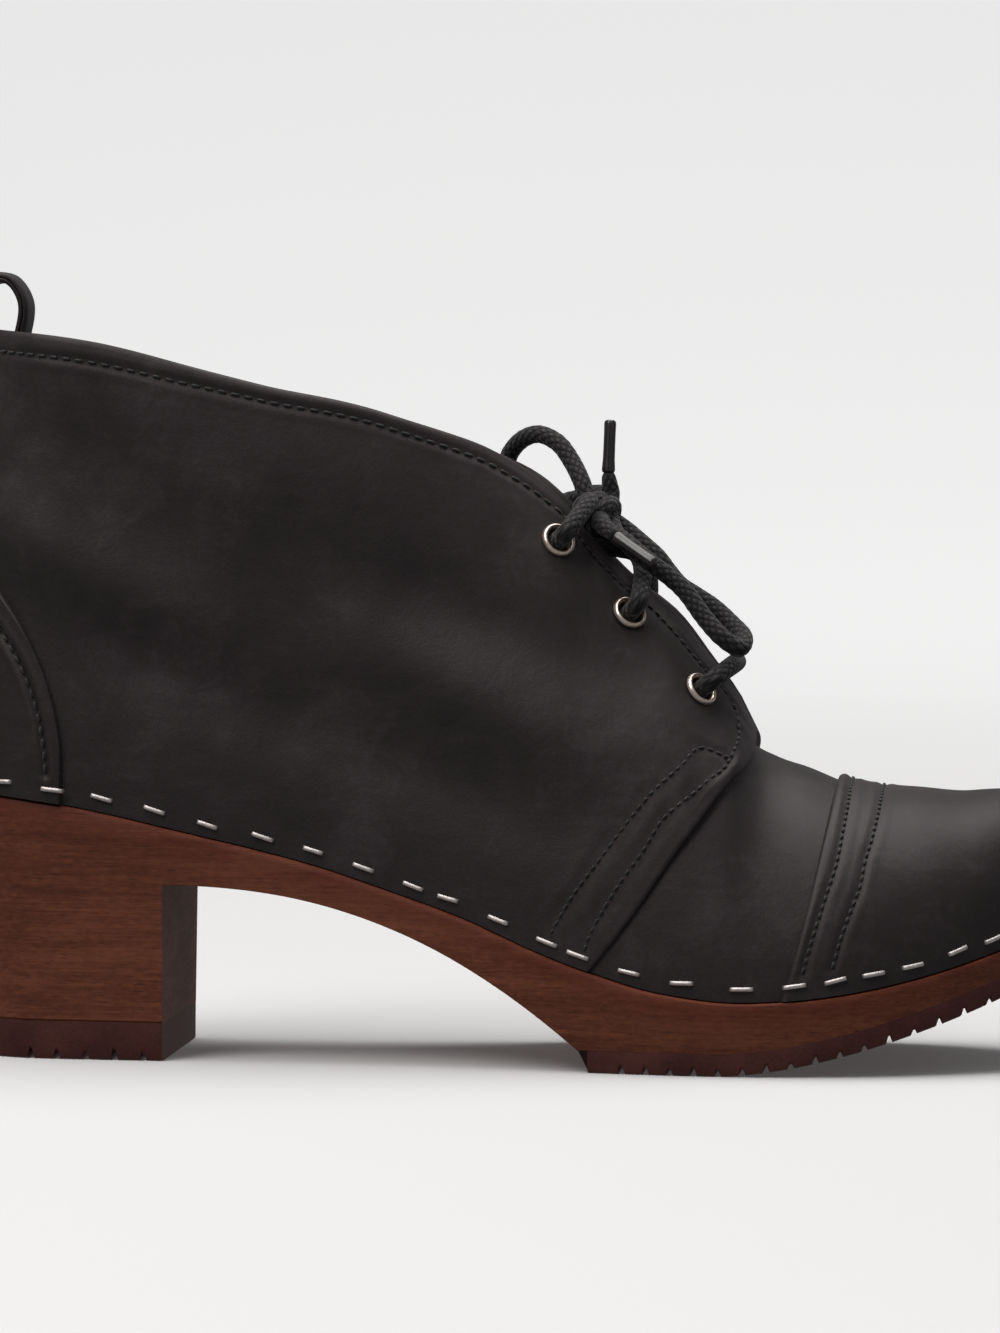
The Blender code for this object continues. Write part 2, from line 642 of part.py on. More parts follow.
def eyelet_cutter():
    """Six short bars that open the eyelet holes."""
    points, faces = [], []
    radius, reach = EYELET_BARREL + GAP, WALL + CUT_ROOM
    for _, _, centre, way in eyelet_places():
        profile = [(0, -reach), (radius, -reach), (radius, reach), (0, reach)]
        ring, found = turned(profile, centre, way, 2 * EYELET_SIDES)
        faces += [[i + len(points) for i in face] for face in found]
        points += ring.reshape(-1, 3).tolist()
    return mesh_object("eyelet_cutter", points, faces, bpy.data.materials["upper"])


def eyelets(finish):
    """Rings with a flange on each side of the leather."""
    under = -WALL - QUARTER_STEP - EYELET_BACK_SEAT
    seat = EYELET_SEAT
    top = seat + EYELET_FLANGE
    profile = [
        (EYELET_INNER, top),
        (EYELET_OUTER - EYELET_ROUND, top - EYELET_ROUND / 3),
        (EYELET_OUTER, seat),
        (EYELET_BARREL, seat),
        (EYELET_BARREL, under),
        (EYELET_OUTER - EYELET_ROUND, under),
        (EYELET_OUTER - EYELET_ROUND, under - EYELET_BACK),
        (EYELET_INNER, under - EYELET_BACK),
    ]
    for side, row, centre, way in eyelet_places():
        ring, faces = turned(profile, centre, way, EYELET_SIDES)
        word = "lateral" if side == LATERAL else "medial"
        mesh_object(f"eyelet_{word}_{row}", ring, faces, finish)


def route(points, spacing):
    """Points at an even spacing along a smooth curve through a few."""
    points = np.asarray(points, float)
    padded = np.concatenate([[2 * points[0] - points[1]], points, [2 * points[-1] - points[-2]]])
    knots = np.concatenate([[0], np.cumsum(np.linalg.norm(np.diff(padded, axis=0), axis=1) ** 0.5)])
    curve = []
    for k in range(1, len(padded) - 2):
        t0, t1, t2, t3 = knots[k - 1 : k + 3]
        p0, p1, p2, p3 = padded[k - 1 : k + 3]
        t = np.linspace(t1, t2, 24, endpoint=False)[:, None]
        a1 = (t1 - t) / (t1 - t0) * p0 + (t - t0) / (t1 - t0) * p1
        a2 = (t2 - t) / (t2 - t1) * p1 + (t - t1) / (t2 - t1) * p2
        a3 = (t3 - t) / (t3 - t2) * p2 + (t - t2) / (t3 - t2) * p3
        b1 = (t2 - t) / (t2 - t0) * a1 + (t - t0) / (t2 - t0) * a2
        b2 = (t3 - t) / (t3 - t1) * a2 + (t - t1) / (t3 - t1) * a3
        curve.append((t2 - t) / (t2 - t1) * b1 + (t - t1) / (t2 - t1) * b2)
    curve = np.concatenate([*curve, points[-1:]])
    run = np.concatenate([[0], np.cumsum(np.linalg.norm(np.diff(curve, axis=0), axis=1))])
    even = np.linspace(0, run[-1], max(3, round(run[-1] / spacing) + 1))
    return np.column_stack([np.interp(even, run, curve[:, axis]) for axis in range(3)])


def tube(name, points, radius, finish, sides=8):
    """A round strand as a mesh, its rings carried along the path without twist."""
    points = np.asarray(points, float)
    runs = np.gradient(points, axis=0)
    beside = Vector(runs[0]).orthogonal()
    rings = []
    for place, run in zip(points, runs):
        run = Vector(run).normalized()
        beside = (beside - run * beside.dot(run)).normalized()
        over = run.cross(beside)
        turn = np.arange(sides) * 2 * math.pi / sides
        rings.append([Vector(place) + (beside * math.cos(a) + over * math.sin(a)) * radius for a in turn])
    return ring_loft(name, rings, finish, 60)


def cord(name, points, radius, finish, spacing=CORD_PITCH):
    """A free cord as a bevelled curve with filled caps."""
    points = route(points, spacing)
    data = bpy.data.curves.new(name, "CURVE")
    data.dimensions = "3D"
    data.bevel_depth = radius
    data.bevel_resolution = 2
    data.use_fill_caps = True
    line = data.splines.new("POLY")
    line.points.add(len(points) - 1)
    for point, place in zip(line.points, points):
        point.co = (*place, 1.0)
    data.materials.append(finish)
    item = bpy.data.objects.new(name, data)
    bpy.context.scene.collection.objects.link(item)
    return item


def joined(first, second):
    """Two crossing strands as one solid."""
    second.hide_render = True
    second.display_type = "WIRE"
    weld = first.modifiers.new("join", "BOOLEAN")
    weld.operation = "UNION"
    weld.object = second
    return first


def threaded(centre, way):
    """The straight stretch of a lace through an eyelet, from inside to outside."""
    return [centre + t * way for t in np.linspace(-THREAD_IN, THREAD_OUT, 5)]


def eyelet_axes():
    """Each eyelet's centre and way, by side and row."""
    return {(side, row): (np.array(centre), np.array(way)) for side, row, centre, way in eyelet_places()}


def lacing(finish):
    """The laced part: a bar outside the lowest pair, a cross under the quarters, and one over the tongue."""
    radius = LACE_DIAMETER / 2
    axes = eyelet_axes()
    low, low_way = axes[LATERAL, 3]
    far, far_way = axes[MEDIAL, 3]
    rise = np.array([low_way[0], 0, low_way[2]])
    rise /= np.linalg.norm(rise)
    bar = threaded(low, low_way)
    for t, lift in BAR_ARCH:
        bar.append(low + t * (far - low) + lift * rise)
    bar += threaded(far, far_way)[::-1]
    tube("lace_bar", route(bar, LACE_PITCH), radius, finish)

    under, over = [], []
    for side, height in ((LATERAL, CROSS_RISE), (MEDIAL, -CROSS_RISE)):
        start, start_way = axes[side, 3]
        end, end_way = axes[-side, 2]
        middle = offset_point(u_of(UNDER_CROSS), side, np.pi / 2, UNDER_DEPTH + height)
        points = []
        for centre, way in ((start, start_way), (end, end_way)):
            seat = centre - UNDER_SEAT * way
            toward = (middle - seat) / np.linalg.norm(middle - seat)
            points.append(seat + UNDER_CLEAR * toward)
        under.append(tube(f"under_{side}", route([points[0], middle, points[1]], LACE_PITCH), radius, finish))

        start, start_way = axes[side, 2]
        end, end_way = axes[-side, 1]
        brink = section_sizes(OVER_START)[2]
        edge = offset_point(u_of(OVER_START), side, brink, OVER_EDGE)
        past = offset_point(u_of(OVER_START - 0.006), side, 0.5 * brink + 0.25 * np.pi, OVER_EDGE)
        middle = offset_point(u_of(OVER_CROSS), side, np.pi / 2, OVER_LIFT + height)
        dive = offset_point(u_of(OVER_END), -side, section_sizes(OVER_END)[2], -OVER_DEPTH)
        points = [*threaded(start, start_way), edge, past, middle, dive, *threaded(end, end_way)]
        brink = section_sizes(TIE_SHARE)[2]
        points.append(offset_point(u_of(TIE_SHARE), -side, brink, OVER_EDGE + 0.0014))
        points.append(KNOT_PLACE + TIE_ENDS[-side])
        over.append(tube(f"over_{side}", route(points, LACE_PITCH), radius, finish))
    joined(under[0], under[1]).name = "lace_under"
    joined(over[0], over[1]).name = "lace_cross"


def bow(finish, aglet_finish):
    """The knot above the top eyelets, with two loops, and two ends in aglets."""
    made = bmesh.new()
    bmesh.ops.create_icosphere(made, subdivisions=2, radius=1.0)
    points = np.array([vert.co for vert in made.verts]) * KNOT_HALF + KNOT_PLACE
    faces = [[vert.index for vert in face.verts] for face in made.faces]
    made.free()
    mesh_object("lace_knot", points, faces, finish)
    radius = LACE_DIAMETER / 2
    cord("lace_loop_back", LOOP_BACK, radius, finish)
    cord("lace_loop_front", LOOP_FRONT, radius, finish)
    for word, end, way in (("back", END_BACK, AGLET_WAYS[0]), ("front", END_FRONT, AGLET_WAYS[1])):
        cord(f"lace_end_{word}", end, radius, finish, CORD_PITCH / 2)
        way = np.array(way) / np.linalg.norm(way)
        start = np.array(end[-1]) + AGLET_GAP * way
        aglet = [start + way * t * AGLET_LENGTH for t in (0, 0.5, 1)]
        tube(f"aglet_{word}", aglet, AGLET_RADIUS, aglet_finish)


def seam_x(z, offset):
    """The back seam's place at a height, moved out of the shoe or into it."""
    angle = angle_at_height(np.float64(0), z)
    return float(offset_point(np.float64(0), LATERAL, angle, offset)[0])


def pull_loop(finish):
    """A leather strip over the back of the collar, sewn on outside and inside."""
    collar = float(edge_height(0.0)) + QUARTER_HEIGHT
    half = LOOP_THICK / 2
    outside = [(seam_x(collar - drop, QUARTER_STEP) - GAP - half, collar - drop) for drop in LOOP_DROPS]
    inside = [(seam_x(collar - drop, -WALL) + LOOP_SEAT + half, collar - drop) for drop in LOOP_INNER_DROPS]
    middle = seam_x(collar, 0.0) + LOOP_MIDDLE
    crown = collar + LOOP_RISE - half
    reach = LOOP_ROOM + half
    ring = [(middle + across * reach, crown - drop) for across, drop in LOOP_ARCH]
    ring.insert(0, (middle - LOOP_BACK_WIDTH * reach, collar + LOOP_BACK_RISE))
    ring.append((middle + LOOP_FRONT_WIDTH * reach, collar - LOOP_FRONT_DROP))
    path = route([(x, 0, z) for x, z in outside + ring + inside], 0.0028)
    runs = np.gradient(path, axis=0)
    runs /= np.linalg.norm(runs, axis=1, keepdims=True)
    face = np.column_stack([-runs[:, 2], 0 * runs[:, 0], runs[:, 0]])
    wide = np.array([0, LOOP_WIDTH / 2, 0])
    corners = [(1, 1), (1, -1), (-1, -1), (-1, 1)]
    rings = [[p + f * half * a + wide * b for a, b in corners] for p, f in zip(path, face)]
    ring_loft("pull_loop", rings, finish, 50)


def main():
    clear_scene()
    wood = material("sole", (0.105, 0.044, 0.032), 0.45)
    sole(wood)
    heel_rubber(material("outsole_heel", (0.050, 0.018, 0.019), 0.75))
    front_rubber(material("outsole_front", (0.050, 0.018, 0.019), 0.75))
    leather = material("upper", (0.030, 0.027, 0.028), 0.62)
    upper(leather)
    toe_cap(material("toe_cap", (0.032, 0.028, 0.029), 0.60))
    heel_counter(material("heel_counter", (0.032, 0.028, 0.029), 0.60))
    tongue(material("tongue", (0.028, 0.025, 0.026), 0.66))
    eyelets(material("eyelet", (0.66, 0.50, 0.42), 0.30, 1.0))
    pull_loop(material("pull_loop", (0.034, 0.030, 0.031), 0.60))
    lace = material("lace", (0.018, 0.016, 0.016), 0.80)
    lacing(lace)
    bow(lace, material("aglet", (0.012, 0.011, 0.011), 0.30))


main()
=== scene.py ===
# Clog boot: black nubuck on a wooden clog sole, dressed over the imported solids.
# X runs from heel to toe, Y to the inner side of the foot, Z up. All sizes in metres.
import math

import bmesh
import bpy
import numpy as np
from mathutils import Matrix, Vector


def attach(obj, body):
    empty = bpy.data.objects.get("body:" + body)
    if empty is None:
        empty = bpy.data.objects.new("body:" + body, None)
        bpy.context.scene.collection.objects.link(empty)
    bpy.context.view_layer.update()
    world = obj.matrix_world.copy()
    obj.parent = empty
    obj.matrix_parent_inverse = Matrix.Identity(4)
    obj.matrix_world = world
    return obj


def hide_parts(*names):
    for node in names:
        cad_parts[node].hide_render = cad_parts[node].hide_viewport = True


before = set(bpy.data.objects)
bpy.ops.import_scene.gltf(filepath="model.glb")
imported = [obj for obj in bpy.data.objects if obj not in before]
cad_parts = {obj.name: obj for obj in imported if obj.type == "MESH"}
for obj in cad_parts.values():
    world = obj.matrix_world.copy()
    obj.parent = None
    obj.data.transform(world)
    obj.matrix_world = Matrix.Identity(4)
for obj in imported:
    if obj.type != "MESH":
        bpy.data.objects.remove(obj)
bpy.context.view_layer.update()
print("frame loaded")

shoe = {
    "length": 0.258,
    "heelOverhang": 0.027,
    "ballWidth": 0.092,
    "heelEdge": 0.060,
    "platform": 0.016,
    "toeEdgeRise": 0.0195,
    "toeSpring": 0.0255,
    "quarterHeight": 0.102,
    "wall": 0.0018,
    "quarterStep": 0.0010,
    "overlay": 0.0014,
    "gap": 0.0003,
    "leatherInset": 0.0022,
    "throatEnd": 0.7045,
}
lateral, medial = -1, 1
bothSides = (lateral, medial)
tiny = 1e-4

# the shoe's own curves

# share of the length, half width and centre as shares of the ball width
planTable = np.array([
    (0.000, 0.326, 0.000), (0.105, 0.329, 0.000), (0.205, 0.335, -0.006), (0.300, 0.332, -0.018),
    (0.395, 0.345, -0.026), (0.490, 0.388, -0.026), (0.590, 0.448, -0.018), (0.665, 0.488, -0.008),
    (0.725, 0.500, 0.002), (0.800, 0.492, 0.016), (0.900, 0.470, 0.046), (1.000, 0.455, 0.076),
])
# share of the length, share of the drop from heel to ball
edgeTable = np.array([
    (0.000, 1.000), (0.116, 0.920), (0.225, 0.789), (0.333, 0.641), (0.413, 0.493), (0.463, 0.393),
    (0.531, 0.225), (0.577, 0.130), (0.632, 0.043), (0.700, 0.000), (1.000, 0.000),
])
# share of the length, height, half opening, squareness of the arch, side pinch
topTable = np.array([
    (0.000, 1.000, 0.900, 2.50, 0.060), (0.130, 1.007, 0.900, 2.50, 0.060), (0.283, 1.002, 0.860, 2.40, 0.055),
    (0.393, 1.019, 0.700, 2.25, 0.040), (0.461, 1.019, 0.470, 2.05, 0.020), (0.498, 1.010, 0.330, 1.95, 0.010),
    (0.536, 0.973, 0.225, 1.88, 0.000), (0.561, 0.914, 0.195, 1.85, 0.000), (0.596, 0.853, 0.162, 1.83, 0.000),
    (0.631, 0.807, 0.125, 1.83, 0.000), (0.667, 0.709, 0.072, 1.86, 0.000), (0.690, 0.634, 0.028, 1.90, 0.000),
    (0.7045, 0.560, 0.000, 1.92, 0.000), (0.720, 0.513, 0.000, 1.95, 0.000), (0.754, 0.475, 0.000, 2.02, 0.000),
    (0.800, 0.415, 0.000, 2.15, 0.000), (0.850, 0.374, 0.000, 2.25, 0.000), (0.900, 0.343, 0.000, 2.35, 0.000),
    (1.000, 0.335, 0.000, 2.45, 0.000),
])


def unit(vectors):
    # each vector divided by its own length
    return vectors / np.linalg.norm(vectors, axis=-1, keepdims=True)


def curveThrough(table, column, at):
    # cubic Hermite through a column, its slopes the harmonic means of the neighbouring chords
    shares, values = table[:, 0], table[:, column]
    step = np.diff(shares)
    slope = np.diff(values) / step
    same = slope[:-1] * slope[1:] > 0
    inner = np.where(same, 2 * slope[:-1] * slope[1:] / np.where(same, slope[:-1] + slope[1:], 1), 0)
    tangent = np.concatenate([slope[:1], inner, slope[-1:]])
    at = np.clip(at, shares[0], shares[-1])
    k = np.clip(np.searchsorted(shares, at, side="right") - 1, 0, len(step) - 1)
    q = (at - shares[k]) / step[k]
    return (
        (2 * q**3 - 3 * q**2 + 1) * values[k]
        + (q**3 - 2 * q**2 + q) * step[k] * tangent[k]
        + (3 * q**2 - 2 * q**3) * values[k + 1]
        + (q**3 - q**2) * step[k] * tangent[k + 1]
    )


def shareOf(u):
    # u bunches the stations at heel and toe: share = (1 - cos(pi u)) / 2
    return (1 - np.cos(np.pi * u)) / 2


def uOf(share):
    return np.arccos(1 - 2 * np.clip(share, 0, 1)) / np.pi


def xOf(share):
    return share * shoe["length"] - shoe["heelOverhang"]


def shareAt(x):
    return (x + shoe["heelOverhang"]) / shoe["length"]


def roundedEnd(q, power):
    # quarter of a superellipse: (1 - q^p)^(1/p)
    return (1 - np.clip(q, 0, 1) ** power) ** (1 / power)


def plan(u):
    # half width = table row times two rounded ends
    share = shareOf(np.clip(u, 0, 1))
    half = shoe["ballWidth"] * curveThrough(planTable, 1, share)
    half = half * roundedEnd(1 - share / 0.115, 2) * roundedEnd((share - 0.755) / 0.245, 2.2)
    return xOf(share), shoe["ballWidth"] * curveThrough(planTable, 2, share), half


def outline(u, side, inset):
    # outline point moved in along its own normal
    ends = []
    for station in (np.clip(u - tiny, 0, 1), np.clip(u + tiny, 0, 1), u):
        x, centre, half = plan(station)
        ends.append(np.stack([x, centre + side * half], -1))
    run = unit(ends[1] - ends[0])
    outward = side * np.stack([-run[..., 1], run[..., 0]], -1)
    return ends[2] - np.asarray(inset)[..., None] * outward


def edgeHeight(share):
    # height of the wood's top edge: platform, the drop from the heel, and a toe rise that grows as q^1.9
    drop = (shoe["heelEdge"] - shoe["platform"]) * curveThrough(edgeTable, 1, share)
    return shoe["platform"] + drop + shoe["toeEdgeRise"] * np.clip((share - 0.7) / 0.3, 0, 1) ** 1.9


def treadHeight(share):
    # the tread lifts towards the toe as q^1.6
    return shoe["toeSpring"] * np.clip((share - 0.686) / 0.314, 0, 1) ** 1.6


def sectionSizes(share):
    # the arch's height, its power and the angle at which the opening cuts it off
    height = shoe["quarterHeight"] * curveThrough(topTable, 1, share)
    height = height * (0.30 + 0.70 * roundedEnd((share - 0.83) / 0.17, 2.3))
    gap, square = curveThrough(topTable, 2, share), curveThrough(topTable, 3, share)
    top = (1 - gap**square) ** (1 / square)
    return height / top, square, np.arctan2(top, gap)


def lastPoint(u, side, angle):
    # arch over each station: r = (|cos a|^n + |sin a|^n)^(-1/n), across = r cos a, up = r sin a
    u = np.clip(u, 0, 1)
    share = shareOf(u)
    height, square, edgeAngle = sectionSizes(share)
    inset = np.full(np.shape(u), shoe["leatherInset"])
    foot = outline(u, side, inset)
    middle = (foot + outline(u, -side, inset)) / 2
    cos, sin = np.cos(angle), np.sin(angle)
    radius = (np.abs(cos) ** square + np.abs(sin) ** square) ** (-1 / square)
    across, up = radius * cos, radius * sin
    pinch = curveThrough(topTable, 4, share) * np.sin(np.pi * np.clip(angle / edgeAngle, 0, 1)) ** 2
    z = edgeHeight(share) + shoe["gap"] + height * up
    climb = np.clip(height * up / shoe["quarterHeight"], 0, 1.3)
    fade = np.clip(1 - share / 0.36, 0, 1) ** 1.5
    lean = (0.0075 * climb**1.6 - 0.0022 * np.sin(np.pi * np.clip(climb, 0, 1)) ** 2) * fade
    x = middle[..., 0] + (foot[..., 0] - middle[..., 0]) * across + lean
    y = middle[..., 1] + (foot[..., 1] - middle[..., 1]) * across * (1 - pinch)
    return np.stack([x, y, z], -1)


def faceWay(u, side, angle):
    # outward normal = cross product of two central differences
    low, high = np.clip(u, 0.006, 0.994) - tiny, np.clip(u, 0.006, 0.994) + tiny
    along = lastPoint(high, side, angle) - lastPoint(low, side, angle)
    over = lastPoint((low + high) / 2, side, angle + tiny) - lastPoint((low + high) / 2, side, angle - tiny)
    return unit(-side * np.cross(along, over))


def offsetPoint(u, side, angle, offset):
    # surface point + offset * normal, the normal shared by both sides at heel and toe
    u, angle, offset = np.broadcast_arrays(*(np.asarray(value, float) for value in (u, angle, offset)))
    way = faceWay(u, side, angle)
    both = unit(way + faceWay(u, -side, angle))
    way = np.where(((u <= 0) | (u >= 1))[..., None], both, way)
    return lastPoint(u, side, angle) + offset[..., None] * way


def angleAtHeight(share, z):
    # the arch's angle at height z, from |cos|^n + |sin|^n = r^-n solved for it
    height, square, _ = sectionSizes(share)
    t = np.clip((z - edgeHeight(share) - shoe["gap"]) / height, 0, 0.9999)
    return np.arctan2(t, (1 - t**square) ** (1 / square))


def atLift(share, side, lift, offset=0.0):
    # a place by its share of the length and its share of the arch, 0 at the wood, 1 at the edge
    share, lift = np.asarray(share, float), np.asarray(lift, float)
    return offsetPoint(uOf(share), side, sectionSizes(share)[2] * lift, offset)


# mesh helpers


def gridQuads(rows, columns, first=0, wrap=False):
    index = first + np.arange(rows * columns).reshape(rows, columns)
    if wrap:
        index = np.concatenate([index, index[:, :1]], axis=1)
    a, b, c, d = index[:-1, :-1], index[1:, :-1], index[1:, 1:], index[:-1, 1:]
    return np.stack([a.ravel(), b.ravel(), c.ravel(), d.ravel()], -1)


def stripQuads(line, other):
    return np.stack([line[:-1], line[1:], other[1:], other[:-1]], -1)


def buildMesh(name, points, quads, material, uv, weld, sharp):
    # arrays into a mesh, then doubles merged and faces turned outwards
    data = bpy.data.meshes.new(name)
    data.vertices.add(len(points))
    data.vertices.foreach_set("co", np.ascontiguousarray(points, np.float32).ravel())
    data.loops.add(quads.size)
    data.loops.foreach_set("vertex_index", np.ascontiguousarray(quads, np.int32).ravel())
    data.polygons.add(len(quads))
    data.polygons.foreach_set("loop_start", np.arange(len(quads), dtype=np.int32) * 4)
    if uv is not None:
        layer = data.uv_layers.new(name="UVMap")
        layer.data.foreach_set("uv", np.ascontiguousarray(uv[quads.ravel()], np.float32).ravel())
    data.update(calc_edges=True)
    if weld:
        made = bmesh.new()
        made.from_mesh(data)
        bmesh.ops.remove_doubles(made, verts=made.verts, dist=weld)
        bmesh.ops.dissolve_degenerate(made, edges=made.edges, dist=1e-6)
        bmesh.ops.recalc_face_normals(made, faces=made.faces)
        if made.calc_volume(signed=True) < 0:
            bmesh.ops.reverse_faces(made, faces=made.faces)
        made.to_mesh(data)
        made.free()
    data.shade_smooth()
    data.set_sharp_from_angle(angle=math.radians(sharp))
    data.materials.append(material)
    item = bpy.data.objects.new(name, data)
    bpy.context.scene.collection.objects.link(item)
    return item


def gridMesh(name, grid, material, uv=None, weld=1e-6, sharp=50, wrap=False):
    # one grid of points as a mesh
    quads = gridQuads(*grid.shape[:2], 0, wrap)
    return buildMesh(name, grid.reshape(-1, 3), quads, material, uv, weld, sharp)


def slabMesh(name, patches, material):
    # a wall from pairs of outer and inner grids, closed along the borders that each names
    points, quads, count = [], [], 0
    for outer, inner, borders in patches:
        rows, columns = outer.shape[:2]
        front = count + np.arange(rows * columns).reshape(rows, columns)
        back = front + rows * columns
        quads += [gridQuads(rows, columns, count), gridQuads(rows, columns, count + rows * columns)]
        quads += [stripQuads(front[border], back[border]) for border in borders]
        points += [outer.reshape(-1, 3), inner.reshape(-1, 3)]
        count += 2 * rows * columns
    return buildMesh(name, np.concatenate(points), np.concatenate(quads), material, None, 2e-5, 50)


def runAlong(path):
    # length along a polyline at each of its points
    return np.concatenate([[0], np.cumsum(np.linalg.norm(np.diff(path, axis=0), axis=1))])


def placesAlong(path, run, at):
    # points of a polyline where its running value is `at`
    return np.stack([np.interp(at, run, path[:, axis]) for axis in range(path.shape[1])], -1)


def route(points, spacing):
    # centripetal Catmull-Rom curve through a few points, at an even spacing
    points = np.asarray(points, float)
    padded = np.concatenate([[2 * points[0] - points[1]], points, [2 * points[-1] - points[-2]]])
    knots = np.concatenate([[0], np.cumsum(np.linalg.norm(np.diff(padded, axis=0), axis=1) ** 0.5)])
    curve = []
    for k in range(1, len(padded) - 2):
        t0, t1, t2, t3 = knots[k - 1 : k + 3]
        p0, p1, p2, p3 = padded[k - 1 : k + 3]
        t = np.linspace(t1, t2, 24, endpoint=False)[:, None]
        a1 = (t1 - t) / (t1 - t0) * p0 + (t - t0) / (t1 - t0) * p1
        a2 = (t2 - t) / (t2 - t1) * p1 + (t - t1) / (t2 - t1) * p2
        a3 = (t3 - t) / (t3 - t2) * p2 + (t - t2) / (t3 - t2) * p3
        b1 = (t2 - t) / (t2 - t0) * a1 + (t - t0) / (t2 - t0) * a2
        b2 = (t3 - t) / (t3 - t1) * a2 + (t - t1) / (t3 - t1) * a3
        curve.append((t2 - t) / (t2 - t1) * b1 + (t - t1) / (t2 - t1) * b2)
    curve = np.concatenate([*curve, points[-1:]])
    run = runAlong(curve)
    return placesAlong(curve, run, np.linspace(0, run[-1], max(3, round(run[-1] / spacing) + 1)))


def pathLength(path):
    return float(np.linalg.norm(np.diff(path, axis=0), axis=1).sum())


def carriedFrame(path):
    # tangents, and two side directions carried from ring to ring without twist
    tangent = unit(np.gradient(path, axis=0))
    beside = np.array(Vector(tangent[0]).orthogonal().normalized())
    sides = []
    for way in tangent:
        beside = unit(beside - way * (beside @ way))
        sides.append(beside)
    sides = np.array(sides)
    return tangent, sides, np.cross(tangent, sides)


braidLook = {"sides": 28, "strands": 7, "pitch": 0.0023, "height": 0.00010}


def braidTube(name, path, radius, material):
    # a ring at each point, its radius raised by height * |sin(k a + w s) sin(k a - w s)|^0.7 for the strands
    tangent, beside, over = carriedFrame(path)
    run = runAlong(path)
    look = braidLook
    turn = np.linspace(0, 2 * np.pi, look["sides"] + 1)[None, :]
    wave, strand = np.pi * run[:, None] / look["pitch"], look["strands"] * turn / 2
    lump = np.abs(np.sin(strand + wave) * np.sin(strand - wave)) ** 0.7
    size = np.broadcast_to(np.asarray(radius, float), run.shape)[:, None] + look["height"] * (lump - 0.5)
    ring = beside[:, None] * np.cos(turn)[..., None] + over[:, None] * np.sin(turn)[..., None]
    body = path[:, None] + ring * size[..., None]
    ends = []
    for end, sign in ((0, -1), (-1, 1)):
        for share, out in ((0.72, 0.34), (0.0, 0.45)):
            push = sign * tangent[end] * out * size[end, 0]
            ends.append(path[end] + push + ring[end] * size[end, 0] * share)
    grid = np.concatenate([[ends[1]], [ends[0]], body, [ends[2]], [ends[3]]])
    length = np.concatenate([[run[0]] * 2, run, [run[-1]] * 2])
    uv = np.stack(np.broadcast_arrays(turn / (2 * np.pi), length[:, None] / look["pitch"]), -1).reshape(-1, 2)
    return gridMesh(name, grid, material, uv, 1e-5, 80)


def turnedPoints(profile, centre, way, segments):
    # closed profile (radius, height) turned about an axis
    way = Vector(way).normalized()
    across = np.array(way.orthogonal().normalized())
    way = np.array(way)
    beside = np.cross(way, across)
    turn = np.linspace(0, 2 * np.pi, segments + 1)[:, None, None]
    radius, height = np.array(profile)[None, :, :1], np.array(profile)[None, :, 1:]
    return np.asarray(centre) + way * height + (across * np.cos(turn) + beside * np.sin(turn)) * radius


def mergedMesh(name, grids, material):
    # many small grids of one size as one mesh
    grids = np.asarray(grids)
    count, rows, columns = grids.shape[:3]
    one = gridQuads(rows, columns)
    quads = (np.arange(count)[:, None, None] * rows * columns + one).reshape(-1, 4)
    return buildMesh(name, grids.reshape(-1, 3), quads, material, None, 5e-6, 60)


def dress(item, slotName, *nodes):
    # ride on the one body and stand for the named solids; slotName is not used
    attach(item, "root")
    if nodes:
        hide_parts(*nodes)
    return item


# materials


class Wire:
    # one socket of a node tree, with arithmetic that adds Math nodes
    def __init__(self, paint, socket):
        self.paint = paint
        self.socket = socket

    def math(self, operation, first, second=None):
        return self.paint.node("ShaderNodeMath", {"operation": operation}, {0: first, 1: second})

    def __add__(self, other):
        return self.math("ADD", self, other)

    def __sub__(self, other):
        return self.math("SUBTRACT", self, other)

    def __rsub__(self, other):
        return self.math("SUBTRACT", other, self)

    def __mul__(self, other):
        return self.math("MULTIPLY", self, other)

    def __pow__(self, other):
        return self.math("POWER", self, other)

    __radd__, __rmul__ = __add__, __mul__

    def wave(self):
        return self.math("SINE", self)

    def size(self):
        return self.math("ABSOLUTE", self)

    def within(self, low, high):
        # 0 below low, 1 above high, smooth between
        settings = {"interpolation_type": "SMOOTHSTEP"}
        return self.paint.node("ShaderNodeMapRange", settings, {0: self, 1: low, 2: high})


